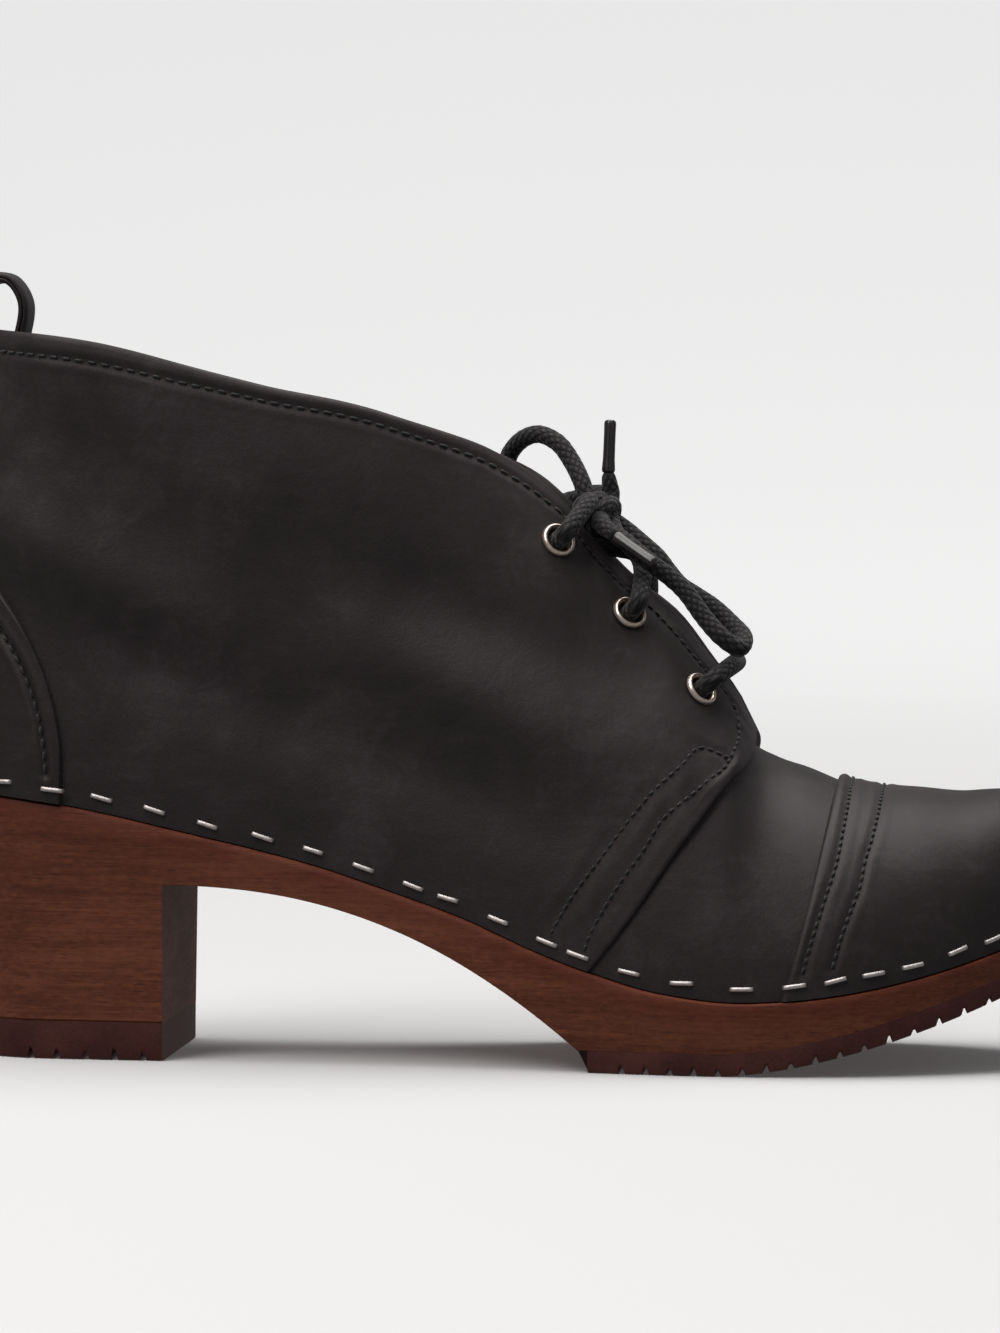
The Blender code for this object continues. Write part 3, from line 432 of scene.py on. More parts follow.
class Paint:
    # one material and its Principled shader
    def __init__(self, name, **constants):
        self.material = bpy.data.materials.new(name)
        self.material.use_nodes = True
        self.tree = self.material.node_tree
        self.shader = self.tree.nodes["Principled BSDF"]
        for socket, value in constants.items():
            self.shader.inputs[socket.replace("_", " ")].default_value = value

    def node(self, kind, settings=None, values=None, output=0):
        made = self.tree.nodes.new(kind)
        for key, value in (settings or {}).items():
            if key == "stops":
                ramp = made.color_ramp
                while len(ramp.elements) < len(value):
                    ramp.elements.new(0.5)
                for element, (place, colour) in zip(ramp.elements, value):
                    element.position = place
                    element.color = (*colour, 1.0)
            else:
                setattr(made, key, value)
        for key, value in (values or {}).items():
            if value is None:
                continue
            if isinstance(value, Wire):
                self.tree.links.new(value.socket, made.inputs[key])
            elif isinstance(value, tuple) and len(value) == 3 and made.inputs[key].type == "RGBA":
                made.inputs[key].default_value = (*value, 1.0)
            else:
                made.inputs[key].default_value = value
        return Wire(self, made.outputs[output])

    def place(self):
        return self.node("ShaderNodeTexCoord", output="Object")

    def uv(self):
        return self.node("ShaderNodeTexCoord", output="UV")

    def axes(self, vector):
        return [self.node("ShaderNodeSeparateXYZ", None, {0: vector}, axis) for axis in range(3)]

    def stretched(self, vector, scale, turn=(0, 0, 0)):
        return self.node("ShaderNodeMapping", None, {"Vector": vector, "Scale": scale, "Rotation": turn})

    def noise(self, vector, scale, detail=3.0, rough=0.5, warp=0.0):
        values = {"Vector": vector, "Scale": scale, "Detail": detail, "Roughness": rough, "Distortion": warp}
        return self.node("ShaderNodeTexNoise", None, values, "Fac")

    def mix(self, amount, first, second):
        settings = {"data_type": "RGBA", "clamp_factor": True}
        return self.node("ShaderNodeMix", settings, {0: amount, 6: first, 7: second}, 2)

    def ramp(self, amount, stops):
        return self.node("ShaderNodeValToRGB", {"stops": stops}, {0: amount})

    def bump(self, height, strength, distance, under=None):
        values = {"Strength": strength, "Distance": distance, "Height": height, "Normal": under}
        return self.node("ShaderNodeBump", None, values)

    def feed(self, **wires):
        for socket, wire in wires.items():
            self.tree.links.new(wire.socket, self.shader.inputs[socket.replace("_", " ")])
        return self.material


nubuckLook = {
    "deep": (0.0072, 0.0054, 0.0058),
    "main": (0.0172, 0.0134, 0.0142),
    "pale": (0.0430, 0.0350, 0.0365),
    "napSize": 900,
    "grainSize": 2600,
}


def nubuck(name, depth=1.0, roughness=0.56):
    # oiled nubuck: cloudy tone, faint long drag marks, fine nap
    look = nubuckLook
    paint = Paint(
        name, Roughness=roughness, Sheen_Weight=0.04, Sheen_Roughness=0.40, Specular_IOR_Level=0.45,
        Specular_Tint=(1.0, 0.90, 0.92, 1.0)
    )
    place = paint.place()
    cloud = paint.noise(place, 26, 4, 0.55, 0.4)
    patch = paint.noise(place, 95, 5, 0.6, 0.8)
    drag = paint.noise(paint.stretched(place, (60, 220, 420), (0.2, 0.5, 0.1)), 1.0, 5, 0.6)
    nap = paint.noise(place, look["napSize"], 4, 0.65)
    grain = paint.noise(place, look["grainSize"], 2, 0.5)
    tone = cloud * 0.42 + patch * 0.28 + drag * 0.14 + nap * 0.16
    colour = paint.ramp(tone, [(0.34, look["deep"]), (0.50, look["main"]), (0.66, look["pale"])])
    # painted shade: 1 - depth of near-black is mixed in, a darker copy of the nubuck; the tongue's copy at 0.75
    # stands for the shade it lies in down in the throat
    colour = paint.mix(1 - depth, colour, (0.004, 0.0035, 0.0035))
    rough = roughness - 0.12 + tone * 0.24
    relief = paint.bump(nap * 0.7 + grain * 0.3, 0.35, 0.00025, paint.bump(patch, 0.25, 0.0006))
    return paint.feed(Base_Color=colour, Roughness=rough, Normal=relief)


def stainedWood():
    # alder stained red brown: streaks along the length, fine pores
    paint = Paint("stainedWood", Roughness=0.55, Specular_IOR_Level=0.22)
    place = paint.place()
    wobble = paint.noise(place, 18, 3, 0.5)
    streak = paint.noise(paint.stretched(place, (9, 60, 210)), 1.0, 6, 0.62, 0.6)
    fine = paint.noise(paint.stretched(place, (45, 500, 1500)), 1.0, 4, 0.65)
    speck = paint.noise(paint.stretched(place, (500, 900, 1100)), 1.0, 4, 0.6)
    pore = paint.noise(paint.stretched(place, (220, 1600, 3400)), 1.0, 2, 0.5).within(0.60, 0.74)
    tone = streak * 0.34 + fine * 0.20 + wobble * 0.26 + speck * 0.20
    stops = [
        (0.34, (0.060, 0.0175, 0.0115)), (0.47, (0.132, 0.0385, 0.0215)), (0.57, (0.215, 0.0690, 0.0355)),
        (0.70, (0.290, 0.1050, 0.0560)),
    ]
    colour = paint.ramp(tone, stops)
    colour = paint.mix(pore * 0.55, colour, (0.018, 0.007, 0.005))
    # the stain is redder and deeper on the turned side wall's upper rim
    # painted highlight: the turned side wall's upper rim is mixed redder and deeper, standing in for the reddish
    # highlight its rounded edge catches
    rim = paint.node("ShaderNodeAttribute", {"attribute_name": "rim"}, None, "Fac")
    colour = paint.mix(rim * 0.5, colour, (0.135, 0.027, 0.016))
    relief = paint.bump(fine * 0.6 + streak * 0.4 - pore * 0.8, 0.30, 0.0003)
    return paint.feed(Base_Color=colour, Roughness=0.60 - tone * 0.16 + pore * 0.2, Normal=relief)


def treadRubber():
    # burgundy rubber: slow clouds with fine specks
    paint = Paint("treadRubber", Roughness=0.55, Specular_IOR_Level=0.35)
    place = paint.place()
    cloud = paint.noise(place, 60, 4, 0.6)
    speck = paint.noise(place, 1500, 3, 0.6)
    stops = [
        (0.36, (0.0520, 0.0120, 0.0100)), (0.52, (0.0860, 0.0220, 0.0175)), (0.68, (0.1260, 0.0370, 0.0290)),
    ]
    colour = paint.ramp(cloud * 0.7 + speck * 0.3, stops)
    relief = paint.bump(speck, 0.3, 0.0002, paint.bump(cloud, 0.2, 0.0006))
    return paint.feed(Base_Color=colour, Roughness=0.42 + cloud * 0.26, Normal=relief)


def braid():
    # round braid: crossing strands from the tube's own UV, u round it and v in braid pitches
    paint = Paint("laceBraid", Roughness=0.68, Sheen_Weight=0.25, Sheen_Roughness=0.4, Specular_IOR_Level=0.35)
    around, along, _ = paint.axes(paint.uv())
    first = (around * (3.5 * 2 * math.pi) + along * math.pi).wave().size()
    second = (around * (3.5 * 2 * math.pi) - along * math.pi).wave().size()
    lump = first * second
    thread = (around * 94.0 + along * 40.0).wave() * 0.5 + 0.5
    fuzz = paint.noise(paint.place(), 2200, 3, 0.6)
    # painted highlight and shade: the strands' crowns and the fine ply lines are painted lighter and the valleys
    # between them darker, mixed with random fuzz
    tone = lump * 0.62 + fuzz * 0.28 + thread * 0.10
    stops = [
        (0.14, (0.0030, 0.0026, 0.0027)), (0.42, (0.0100, 0.0086, 0.0088)), (0.80, (0.0260, 0.0225, 0.0228)),
    ]
    colour = paint.ramp(tone, stops)
    relief = paint.bump(lump * 0.75 + thread * 0.12 + fuzz * 0.13, 0.75, 0.0004)
    return paint.feed(Base_Color=colour, Roughness=0.78 - lump * 0.2, Normal=relief)


def metal(name, deep, pale, roughness):
    # two tones mixed by fine wear and drawn-out scratches
    paint = Paint(name, Metallic=1.0, Roughness=roughness)
    place = paint.place()
    wear = paint.noise(place, 900, 4, 0.6)
    line = paint.noise(paint.stretched(place, (300, 2200, 2200)), 1.0, 3, 0.6)
    colour = paint.ramp(wear * 0.6 + line * 0.4, [(0.30, deep), (0.62, pale)])
    relief = paint.bump(line, 0.3, 0.0001)
    return paint.feed(Base_Color=colour, Roughness=roughness - 0.10 + wear * 0.2, Normal=relief)


def plastic(name):
    # lace tips: shrunk dark film over braid, with faint lengthwise flutes
    paint = Paint(name, Roughness=0.22, Coat_Weight=0.4, Coat_Roughness=0.15)
    around = paint.axes(paint.uv())[0]
    flute = (around * (9 * 2 * math.pi)).wave() * 0.5 + 0.5
    cloud = paint.noise(paint.place(), 700, 3, 0.6)
    # painted highlight and shade: lighter on the flutes' crests and darker in their grooves, over a random cloud
    colour = paint.ramp(cloud * 0.6 + flute * 0.4, [(0.3, (0.008, 0.0065, 0.0066)), (0.7, (0.030, 0.025, 0.026))])
    relief = paint.bump(flute * 0.6 + cloud * 0.4, 0.4, 0.00025)
    return paint.feed(Base_Color=colour, Roughness=0.16 + cloud * 0.22, Normal=relief)


def thread(name):
    # fine twist, as noise at a fraction of the thread's width
    paint = Paint(name, Roughness=0.55, Sheen_Weight=0.2)
    twist = paint.noise(paint.place(), 3800, 2, 0.5)
    colour = paint.ramp(twist, [(0.35, (0.0030, 0.0026, 0.0027)), (0.65, (0.0120, 0.0104, 0.0108))])
    return paint.feed(Base_Color=colour, Normal=paint.bump(twist, 0.4, 0.0001))


leather = nubuck("quarterNubuck")
capLeather = nubuck("capNubuck", 0.98, 0.54)
# the tongue's copy is darkened as painted shade for its place in the throat
tongueLeatherShaded = nubuck("tongueNubuckShaded", 0.75, 0.62)
wood = stainedWood()
rubber = treadRubber()
lace = braid()
rose = metal("roseBrass", (0.74, 0.57, 0.47), (0.98, 0.84, 0.74), 0.33)
steel = metal("stapleSteel", (0.52, 0.485, 0.475), (0.80, 0.76, 0.745), 0.56)
tipFilm = plastic("aglet")
seamThread = thread("seamThread")
print("materials made")

# camera: fitted to the floor, the wood's edge and the eyelets in the photo; scale in metres per pixel

camera = {
    "distance": 1.450,
    "scale": 0.0002245,
    "yaw": 5.0,
    "pitch": 2.07,
    "roll": 0.45,
    "aim": (0.098, 0.0, 0.0873),
    "imageHeight": 1333,
    "sensor": 36.0,
}


def makeCamera():
    # turned by yaw, tipped by pitch, rolled about its own axis, at a distance from the point it aims at
    yaw, pitch, roll = (math.radians(camera[word]) for word in ("yaw", "pitch", "roll"))
    back = Vector((math.sin(yaw) * math.cos(pitch), -math.cos(yaw) * math.cos(pitch), math.sin(pitch)))
    right = Vector((math.cos(yaw), math.sin(yaw), 0))
    up = back.cross(right)
    right, up = (
        right * math.cos(roll) + up * math.sin(roll),
        up * math.cos(roll) - right * math.sin(roll),
    )
    data = bpy.data.cameras.new("photoCamera")
    data.sensor_width = camera["sensor"]
    data.lens = camera["distance"] / camera["scale"] * camera["sensor"] / camera["imageHeight"]
    data.clip_start, data.clip_end = 0.05, 30
    item = bpy.data.objects.new("photoCamera", data)
    place = Vector(camera["aim"]) + back * camera["distance"]
    item.matrix_world = Matrix.Translation(place) @ Matrix((right, up, back)).transposed().to_4x4()
    bpy.context.scene.collection.objects.link(item)
    bpy.context.scene.camera = item


makeCamera()

# laces: the threaded part runs through the eyelets as one strand, the bow is two free cords

laceSizes = {
    "diameter": 0.0040,
    "threadIn": 0.0052,
    "threadOut": 0.0042,
    "barArch": ((0.03, 0.0066), (0.20, 0.0082), (0.50, 0.0088), (0.80, 0.0082), (0.97, 0.0066)),
    "ring": 0.00038,
    "knot": np.array([0.1205, -0.0030, 0.1218]),
}
eyeletRows = ((0.5365, 0.1155), (0.5980, 0.0994), (0.6600, 0.0828))
loopBack = np.array([
    (0.1173, -0.0026, 0.1261), (0.1161, -0.0012, 0.1290), (0.1137, 0.0020, 0.1333), (0.1103, 0.0050, 0.1375),
    (0.1054, 0.0090, 0.1395), (0.1005, 0.0140, 0.1375), (0.0977, 0.0175, 0.1331), (0.0985, 0.0205, 0.1275),
    (0.1020, 0.0222, 0.1238), (0.1075, 0.0222, 0.1236), (0.1130, 0.0195, 0.1248), (0.1182, 0.0135, 0.1262),
    (0.1216, 0.0078, 0.1256), (0.1220, 0.0030, 0.1228),
])
loopFront = np.array([
    (0.1263, -0.0026, 0.1183), (0.1304, -0.0038, 0.1150), (0.1336, -0.0046, 0.1122), (0.1358, -0.0050, 0.1094),
    (0.1386, -0.0054, 0.1062), (0.1420, -0.0056, 0.1040), (0.1462, -0.0062, 0.1013), (0.1502, -0.0086, 0.0979),
    (0.1534, -0.0130, 0.0947), (0.1524, -0.0177, 0.0926), (0.1488, -0.0191, 0.0950), (0.1450, -0.0178, 0.0990),
    (0.1404, -0.0164, 0.1050), (0.1366, -0.0160, 0.1084), (0.1320, -0.0158, 0.1117), (0.1272, -0.0130, 0.1155),
    (0.1243, -0.0078, 0.1177),
])
endBack = np.array([(0.1226, 0.0006, 0.1262), (0.1223, 0.0004, 0.1284), (0.1220, 0.0001, 0.1307)])
endFront = np.array([(0.1209, -0.0094, 0.1203), (0.1219, -0.0140, 0.1194), (0.1247, -0.0174, 0.1172)])


def eyeletAxes():
    # each eyelet's centre on the leather and the outward way there
    axes = {}
    for side in bothSides:
        for row, (share, height) in enumerate(eyeletRows, start=1):
            angle = float(angleAtHeight(np.float64(share), height))
            centre = offsetPoint(uOf(share), side, angle, shoe["quarterStep"])
            axes[side, row] = (centre, faceWay(np.float64(uOf(share)), side, angle))
    return axes


axes = eyeletAxes()


def threaded(side, row):
    # straight stretch through an eyelet, from inside to outside
    centre, way = axes[side, row]
    return [centre + t * way for t in np.linspace(-laceSizes["threadIn"], laceSizes["threadOut"], 5)]


crossLook = {
    "edge": 0.598, "past": 0.592, "middle": 0.580, "dive": 0.558, "tie": 0.546, "below": 0.628, "clear": 0.0012,
    "proud": 0.0020, "sunk": 0.0054, "tieClear": 0.0014, "inside": 0.0056, "seat": 0.0062, "apart": 0.0010,
    "turn": 0.0030, "ends": {lateral: (-0.0039, -0.0051, 0.0014), medial: (-0.0043, 0.0057, -0.0004)},
}


def crossOver(side):
    # out of a middle eyelet, over the tongue, under the other quarter, out of its top eyelet to the knot
    look = crossLook
    clear = shoe["quarterStep"] + laceSizes["diameter"] / 2 + look["clear"]
    brink = sectionSizes(look["edge"])[2]
    edge = offsetPoint(uOf(look["edge"]), side, brink, clear)
    past = offsetPoint(uOf(look["past"]), side, 0.5 * brink + 0.25 * np.pi, clear)
    middle = offsetPoint(uOf(look["middle"]), side, np.pi / 2, look["proud"] - side * look["apart"])
    dive = atLift(look["dive"], -side, 1, -look["sunk"])
    tie = atLift(look["tie"], -side, 1, clear + look["tieClear"])
    knot, end = laceSizes["knot"], np.array(look["ends"][-side])
    return [*threaded(side, 2), edge, past, middle, dive, *threaded(-side, 1), tie, knot + end, knot + 0.2 * end]


def crossUnder(side):
    # inside the shoe, from a bottom eyelet to the other side's middle one
    look = crossLook
    middle = offsetPoint(uOf(look["below"]), side, np.pi / 2, -look["inside"] - side * look["apart"])
    seats = [centre - look["seat"] * way for centre, way in (axes[side, 3], axes[-side, 2])]
    low, high = (seat + look["turn"] * unit(middle - seat) for seat in seats)
    return [low, middle, high]


def barPoints():
    # over the outside from one bottom eyelet to the other, lifted in an arch
    low, lowWay = axes[lateral, 3]
    far = axes[medial, 3][0]
    rise = unit(np.array([lowWay[0], 0, lowWay[2]]))
    arch = [low + t * (far - low) + lift * rise for t, lift in laceSizes["barArch"]]
    return [*threaded(lateral, 3), *arch, *threaded(medial, 3)[::-1]]


def lacedPath():
    # knot, lateral top eyelet, over, under, bar, under, over, medial top eyelet, knot
    first = crossOver(medial)[::-1] + crossUnder(lateral)[::-1]
    return np.array(first + barPoints() + crossUnder(medial) + crossOver(lateral))


laceRadius = laceSizes["diameter"] / 2
lacedRoute = route(lacedPath(), laceSizes["ring"])
laced = braidTube("laceThreaded", lacedRoute, laceRadius * 1.02, lace)
dress(laced, "lace", "lace_bar", "lace_under", "lace_cross")


def agletPiece(name, start, way, node):
    # film tip: its radius swells at the mouth, narrows, and rounds off at the end
    share = np.array([0, 0.01, 0.05, 0.12, 0.25, 0.5, 0.75, 0.93, 0.975, 0.995, 1.0])
    size = 0.0015 * np.array([0.0, 0.90, 1.0, 0.97, 0.90, 0.88, 0.88, 0.90, 0.84, 0.62, 0.0])
    length, overlap, segments = 0.0119, 0.0004, 28
    profile = np.stack([size, share * length - overlap], -1)
    grid = turnedPoints(profile, start, way, segments)
    around, along = np.meshgrid(np.linspace(0, 1, segments + 1), share, indexing="ij")
    uv = np.stack([around, along], -1).reshape(-1, 2)
    return dress(gridMesh(name, grid, tipFilm, uv), "aglet", node)


knotLook = {
    "line": (0.93, -0.10, -0.36), "turns": (-0.4, 2 * np.pi * 1.72), "slide": (-0.0024, 0.0027), "rings": 120,
    "wide": 0.0042, "high": 0.0031, "radius": 0.00185,
}


def knotPiece():
    # two wraps round the loops' line: an ellipse in the plane across that line, carried along it
    look = knotLook
    line = unit(np.array(look["line"]))
    across = unit(np.cross(line, (0, 0, 1)))
    up = np.cross(across, line)
    turn = np.linspace(*look["turns"], look["rings"])[:, None]
    slide = np.linspace(*look["slide"], look["rings"])[:, None]
    size = 1 + 0.04 * np.sin(3 * turn)
    wrap = (across * np.cos(turn) * look["wide"] + up * np.sin(turn) * look["high"]) * size
    item = braidTube("laceKnot", laceSizes["knot"] + line * slide + wrap, look["radius"], lace)
    return dress(item, "lace", "lace_knot")


knot = knotPiece()
tipBack = agletPiece("agletBack", (0.1220, 0.0002, 0.1314), (0.02, 0.16, 1.0), "aglet_back")
tipFront = agletPiece("agletFront", (0.1253, -0.0177, 0.1168), (0.80, -0.42, -0.52), "aglet_front")


def bowCord(name, loop, end, through, nodes):
    # from the knot round the loop, back through the knot and out to the tip, thinner in its last 4 mm
    into, out = laceSizes["knot"] + np.array(through)
    path = route(np.concatenate([[into], loop, [out], end]), laceSizes["ring"])
    run = runAlong(path)
    taper = np.clip((run[-1] - run) / 0.004, 0, 1)
    size = laceRadius * (0.66 + 0.34 * taper**0.6)
    item = dress(braidTube(name, path, size, lace), "lace", *nodes)
    print(name, "length", round(pathLength(path), 4))


bowCord(
    "laceBowBack", loopBack, endFront, ((-0.0012, -0.0004, 0.0014), (0.0006, -0.0030, -0.0004)),
    ("lace_loop_back", "lace_end_front"),
)
bowCord(
    "laceBowFront", loopFront, endBack, ((0.0022, 0.0002, -0.0010), (0.0019, 0.0010, 0.0006)),
    ("lace_loop_front", "lace_end_back"),
)
print("laces made")

# leather

# rows of stitches by share of the length and share of the arch
collarRow = np.array([
    (0.000, 0.952), (0.081, 0.952), (0.186, 0.956), (0.292, 0.963), (0.402, 0.958), (0.469, 0.940),
    (0.500, 0.928), (0.5385, 0.926),
])
frontRow = np.array([
    (0.5385, 0.926), (0.580, 0.915), (0.617, 0.906), (0.630, 0.882), (0.646, 0.864), (0.662, 0.858),
    (0.678, 0.862), (0.686, 0.850), (0.690, 0.800), (0.692, 0.727), (0.689, 0.633), (0.683, 0.555),
    (0.673, 0.499), (0.662, 0.443), (0.649, 0.387), (0.633, 0.325), (0.620, 0.259), (0.597, 0.164),
    (0.575, 0.062), (0.570, 0.030),
])
innerRow = np.array([
    (0.688, 0.600), (0.678, 0.587), (0.667, 0.573), (0.659, 0.545), (0.649, 0.481), (0.636, 0.421),
    (0.617, 0.347), (0.584, 0.210), (0.557, 0.106), (0.541, 0.034),
])
capRows = (
    np.array([(0.791, 1.0), (0.7905, 0.68), (0.788, 0.543), (0.7836, 0.413), (0.777, 0.321), (0.771, 0.244),
              (0.7624, 0.142), (0.757, 0.070)]),
    np.array([(0.820, 1.0), (0.8186, 0.683), (0.8135, 0.519), (0.809, 0.443), (0.804, 0.333), (0.797, 0.259),
              (0.788, 0.160), (0.782, 0.080)]),
)
# soft folds: start and end (x, z), half width, depth; negative stands proud
folds = (
    ((-0.022, 0.1235), (0.034, 0.0960), 0.0085, -0.0017),
    ((0.014, 0.0930), (0.052, 0.0760), 0.0095, 0.0014),
    ((-0.004, 0.1430), (0.026, 0.1220), 0.0100, 0.0012),
    ((0.022, 0.1370), (0.092, 0.1220), 0.0140, -0.0013),
    ((0.070, 0.0940), (0.138, 0.0640), 0.0095, -0.0018),
    ((0.082, 0.1040), (0.132, 0.0860), 0.0080, 0.0012),
    ((0.058, 0.0760), (0.116, 0.0520), 0.0090, 0.0011),
    ((0.160, 0.0600), (0.172, 0.0400), 0.0060, 0.0005),
)


def segmentFall(points, start, end, width):
    # 1 on the segment in the side plane, falling off as a bell, faded at both ends
    place = points[..., [0, 2]]
    start, end = np.array(start), np.array(end)
    run = end - start
    t = ((place - start) @ run) / (run @ run)
    near = start + np.clip(t, 0, 1)[..., None] * run
    away = np.linalg.norm(place - near, axis=-1)
    return np.exp(-((away / width) ** 2)) * np.clip(1.15 - np.abs(2 * t - 1) * 0.5, 0, 1)


def foldDepth(points):
    return sum(segmentFall(points, start, end, width) * -depth for start, end, width, depth in folds)


quarterLook = {
    "rows": 130, "bandRows": 12, "columns": 84, "foot": 0.5745, "top": 0.7130, "corner": 0.0078,
    "rim": 0.0006, "rimWidth": 0.016, "frontRim": 0.0005, "frontRimWidth": 0.0009,
    "medialDrop": 0.0015, "edgeSwell": 0.0007, "backSeam": 0.0004, "backSeamWidth": 0.0009,
}


def upperPart(lift):
    # 0 up to 0.6 of the arch, 1 at its edge
    return np.clip((lift - 0.6) / 0.4, 0, 1)


def offWood(lift):
    # 0 at the wood, 1 from a twentieth of the arch up
    return np.clip(lift / 0.05, 0, 1)


def sweptShare(lift, foot, top):
    # a front edge that sweeps forward with the arch: foot + (top - foot)(1 - (1 - lift)^2.3)
    return foot + (top - foot) * (1 - (1 - lift) ** 2.3)


def quarterEdge(lift):
    # share of the length where the quarters end, its corner at the throat's foot rounded off
    look = quarterLook
    return sweptShare(lift, look["foot"], look["top"]) - look["corner"] * upperPart(lift)


def quarterRelief(place, share, lift):
    # folds, fading towards the front edge, and a swell where that edge stands off the vamp
    toEdge = xOf(quarterEdge(lift)) - xOf(share)
    swell = quarterLook["edgeSwell"] * np.exp(-((toEdge / 0.005) ** 2))
    swell = swell * np.sin(np.pi * np.clip((lift - 0.25) / 0.75, 0, 1))
    return (foldDepth(place) * np.clip(toEdge / 0.02, 0, 1) + swell) * offWood(lift)


def rowLine(row, side, offset, folded=False, pitch=0.0006):
    # a row of stitches as a dense line on the leather
    share, lift = (route(row * (1, 0.25), 0.002) / (1, 0.25)).T
    line = atLift(share, side, lift, offset)
    if folded:
        line = atLift(share, side, lift, offset + quarterRelief(line, share, lift))
    return route(line, pitch)


def nearest(points, line, reach=0.004):
    # distance from each point to a dense line, worked out only within reach of it
    flat = points.reshape(-1, 3)
    best = np.full(len(flat), 1.0)
    box = (flat > line.min(0) - reach).all(1) & (flat < line.max(0) + reach).all(1)
    picked = np.nonzero(box)[0]
    for part in np.array_split(picked, max(1, len(picked) // 4000)):
        best[part] = np.sqrt(((flat[part, None] - line[None]) ** 2).sum(-1)).min(1)
    return best.reshape(points.shape[:-1])


def seamRelief(points, lines, width=0.0008, depth=0.00045):
    # each row pulls the leather in: depth * exp(-(d / width)^2), with a soft swell beside it
    total = np.zeros(points.shape[:-1])
    for line in lines:
        away = nearest(points, line)
        swell = 0.3 * depth * np.exp(-(((away - 2.2 * width) / width) ** 2))
        total += swell - depth * np.exp(-((away / width) ** 2))
    return total


def between(start, stop, count, bunch=1.0):
    # rows from start to stop, the first left out, closer together towards stop
    shares = 1 - (1 - np.linspace(0, 1, count + 1)[1:]) ** bunch
    return [start + (stop - start) * t for t in shares]


def quarterRound(t):
    # the fall of a rounded edge at share t of its width: 1 - sqrt(1 - t^2)
    return 1 - np.sqrt(np.clip(1 - t**2, 0, 1))


def rimmed(columns, width, drop):
    # the face falls away towards the last column
    return drop * quarterRound(np.clip((columns - (1 - width)) / width, 0, 1))


def quarters():
    # rows sweep from the back seam to the throat, then on to the front edge: step + relief - rounded rims
    look = quarterLook
    lift = 1 - (1 - np.linspace(0, 1, look["columns"])) ** 1.15
    throat = uOf(sweptShare(lift, look["foot"] + shoe["throatEnd"] - look["top"], shoe["throatEnd"]))
    edge = uOf(quarterEdge(lift))
    u = np.array([
        0 * lift, *between(0 * lift, throat, look["rows"]), *between(throat, edge, look["bandRows"], 1.6),
    ])
    share = shareOf(u)
    angle = sectionSizes(share)[2] * lift
    toEdge = xOf(shareOf(edge)) - xOf(share)
    last = look["rows"] + 1
    rim = rimmed(lift, look["rimWidth"], look["rim"]) * (np.arange(len(u)) < last)[:, None]
    fall = rim + look["frontRim"] * quarterRound(np.clip(1 - toEdge / look["frontRimWidth"], 0, 1))
    patches = []
    for side in bothSides:
        place = offsetPoint(u, side, angle, shoe["quarterStep"])
        lines = [rowLine(row, side, shoe["quarterStep"]) for row in (collarRow, frontRow, innerRow)]
        relief = quarterRelief(place, share, lift) + seamRelief(place, lines)
        relief -= look["backSeam"] * np.exp(-((place[..., 1] / look["backSeamWidth"]) ** 2)) * (u < 0.1)
        outer = offsetPoint(u, side, angle, shoe["quarterStep"] + relief * offWood(lift) - fall)
        inner = offsetPoint(u, side, angle, rim - shoe["wall"])
        if side == medial:
            sag = look["medialDrop"] * upperPart(lift) * np.clip((0.52 - share) / 0.05, 0, 1)
            outer[..., 2] -= sag
            inner[..., 2] -= sag
        patches.append((outer, inner, [np.s_[:, 0], np.s_[:last, -1], np.s_[-1]]))
    return pierced(slabMesh("quarters", patches, leather))


def pierced(item):
    # the eyelet holes: six short bars taken out of the leather
    bore, reach = 0.0033, 0.005
    profile = [(0, -reach), (bore, -reach), (bore, reach), (0, reach)]
    bars = mergedMesh("holeBars", [turnedPoints(profile, *axis, 32) for axis in axes.values()], leather)
    saw = item.modifiers.new("holes", "BOOLEAN")
    saw.operation, saw.object = "DIFFERENCE", bars
    solid = bpy.data.meshes.new_from_object(item.evaluated_get(bpy.context.evaluated_depsgraph_get()))
    item.modifiers.clear()
    item.data = solid
    bpy.data.objects.remove(bars, do_unlink=True)
    solid.shade_smooth()
    solid.set_sharp_from_angle(angle=math.radians(50))
    return item


vampLook = {
    "rows": 96, "tuckRows": 8, "columns": 72, "tuck": 0.020, "throatDrop": 0.0022, "throatReach": 0.018,
    "press": 0.0003, "pressWidth": 0.003, "foldFade": 0.012, "thicker": 0.0001,
}


def vamp():
    # from under the quarters to the toe tip, lower beside the throat's foot and pressed in along their edge
    look = vampLook
    lift = np.linspace(0, 1, look["columns"])
    front = sweptShare(lift, quarterLook["foot"], quarterLook["top"])
    back, edge = uOf(front - look["tuck"]), uOf(front)
    u = np.array([
        back, *between(back, edge, look["tuckRows"]), *between(edge, 1 + 0 * lift, look["rows"], 1.05),
    ])
    share = shareOf(u)
    angle = sectionSizes(share)[2] * lift
    ahead = xOf(share) - xOf(shareOf(edge))
    near = np.clip(1 - (share - shoe["throatEnd"]) / look["throatReach"], 0, 1)
    dip = look["throatDrop"] * near**2 * (3 - 2 * near) * upperPart(lift) ** 2
    dip = dip + look["press"] * np.exp(-((ahead / look["pressWidth"]) ** 2)) * np.sin(np.pi * lift)
    patches = []
    for side in bothSides:
        folded = foldDepth(offsetPoint(u, side, angle, 0.0)) * np.clip(ahead / look["foldFade"], 0, 1)
        outer = offsetPoint(u, side, angle, folded * offWood(lift) - dip)
        inner = offsetPoint(u, side, angle, -shoe["wall"] - look["thicker"])
        patches.append((outer, inner, [np.s_[:, 0], np.s_[0]]))
    return slabMesh("vamp", patches, capLeather)


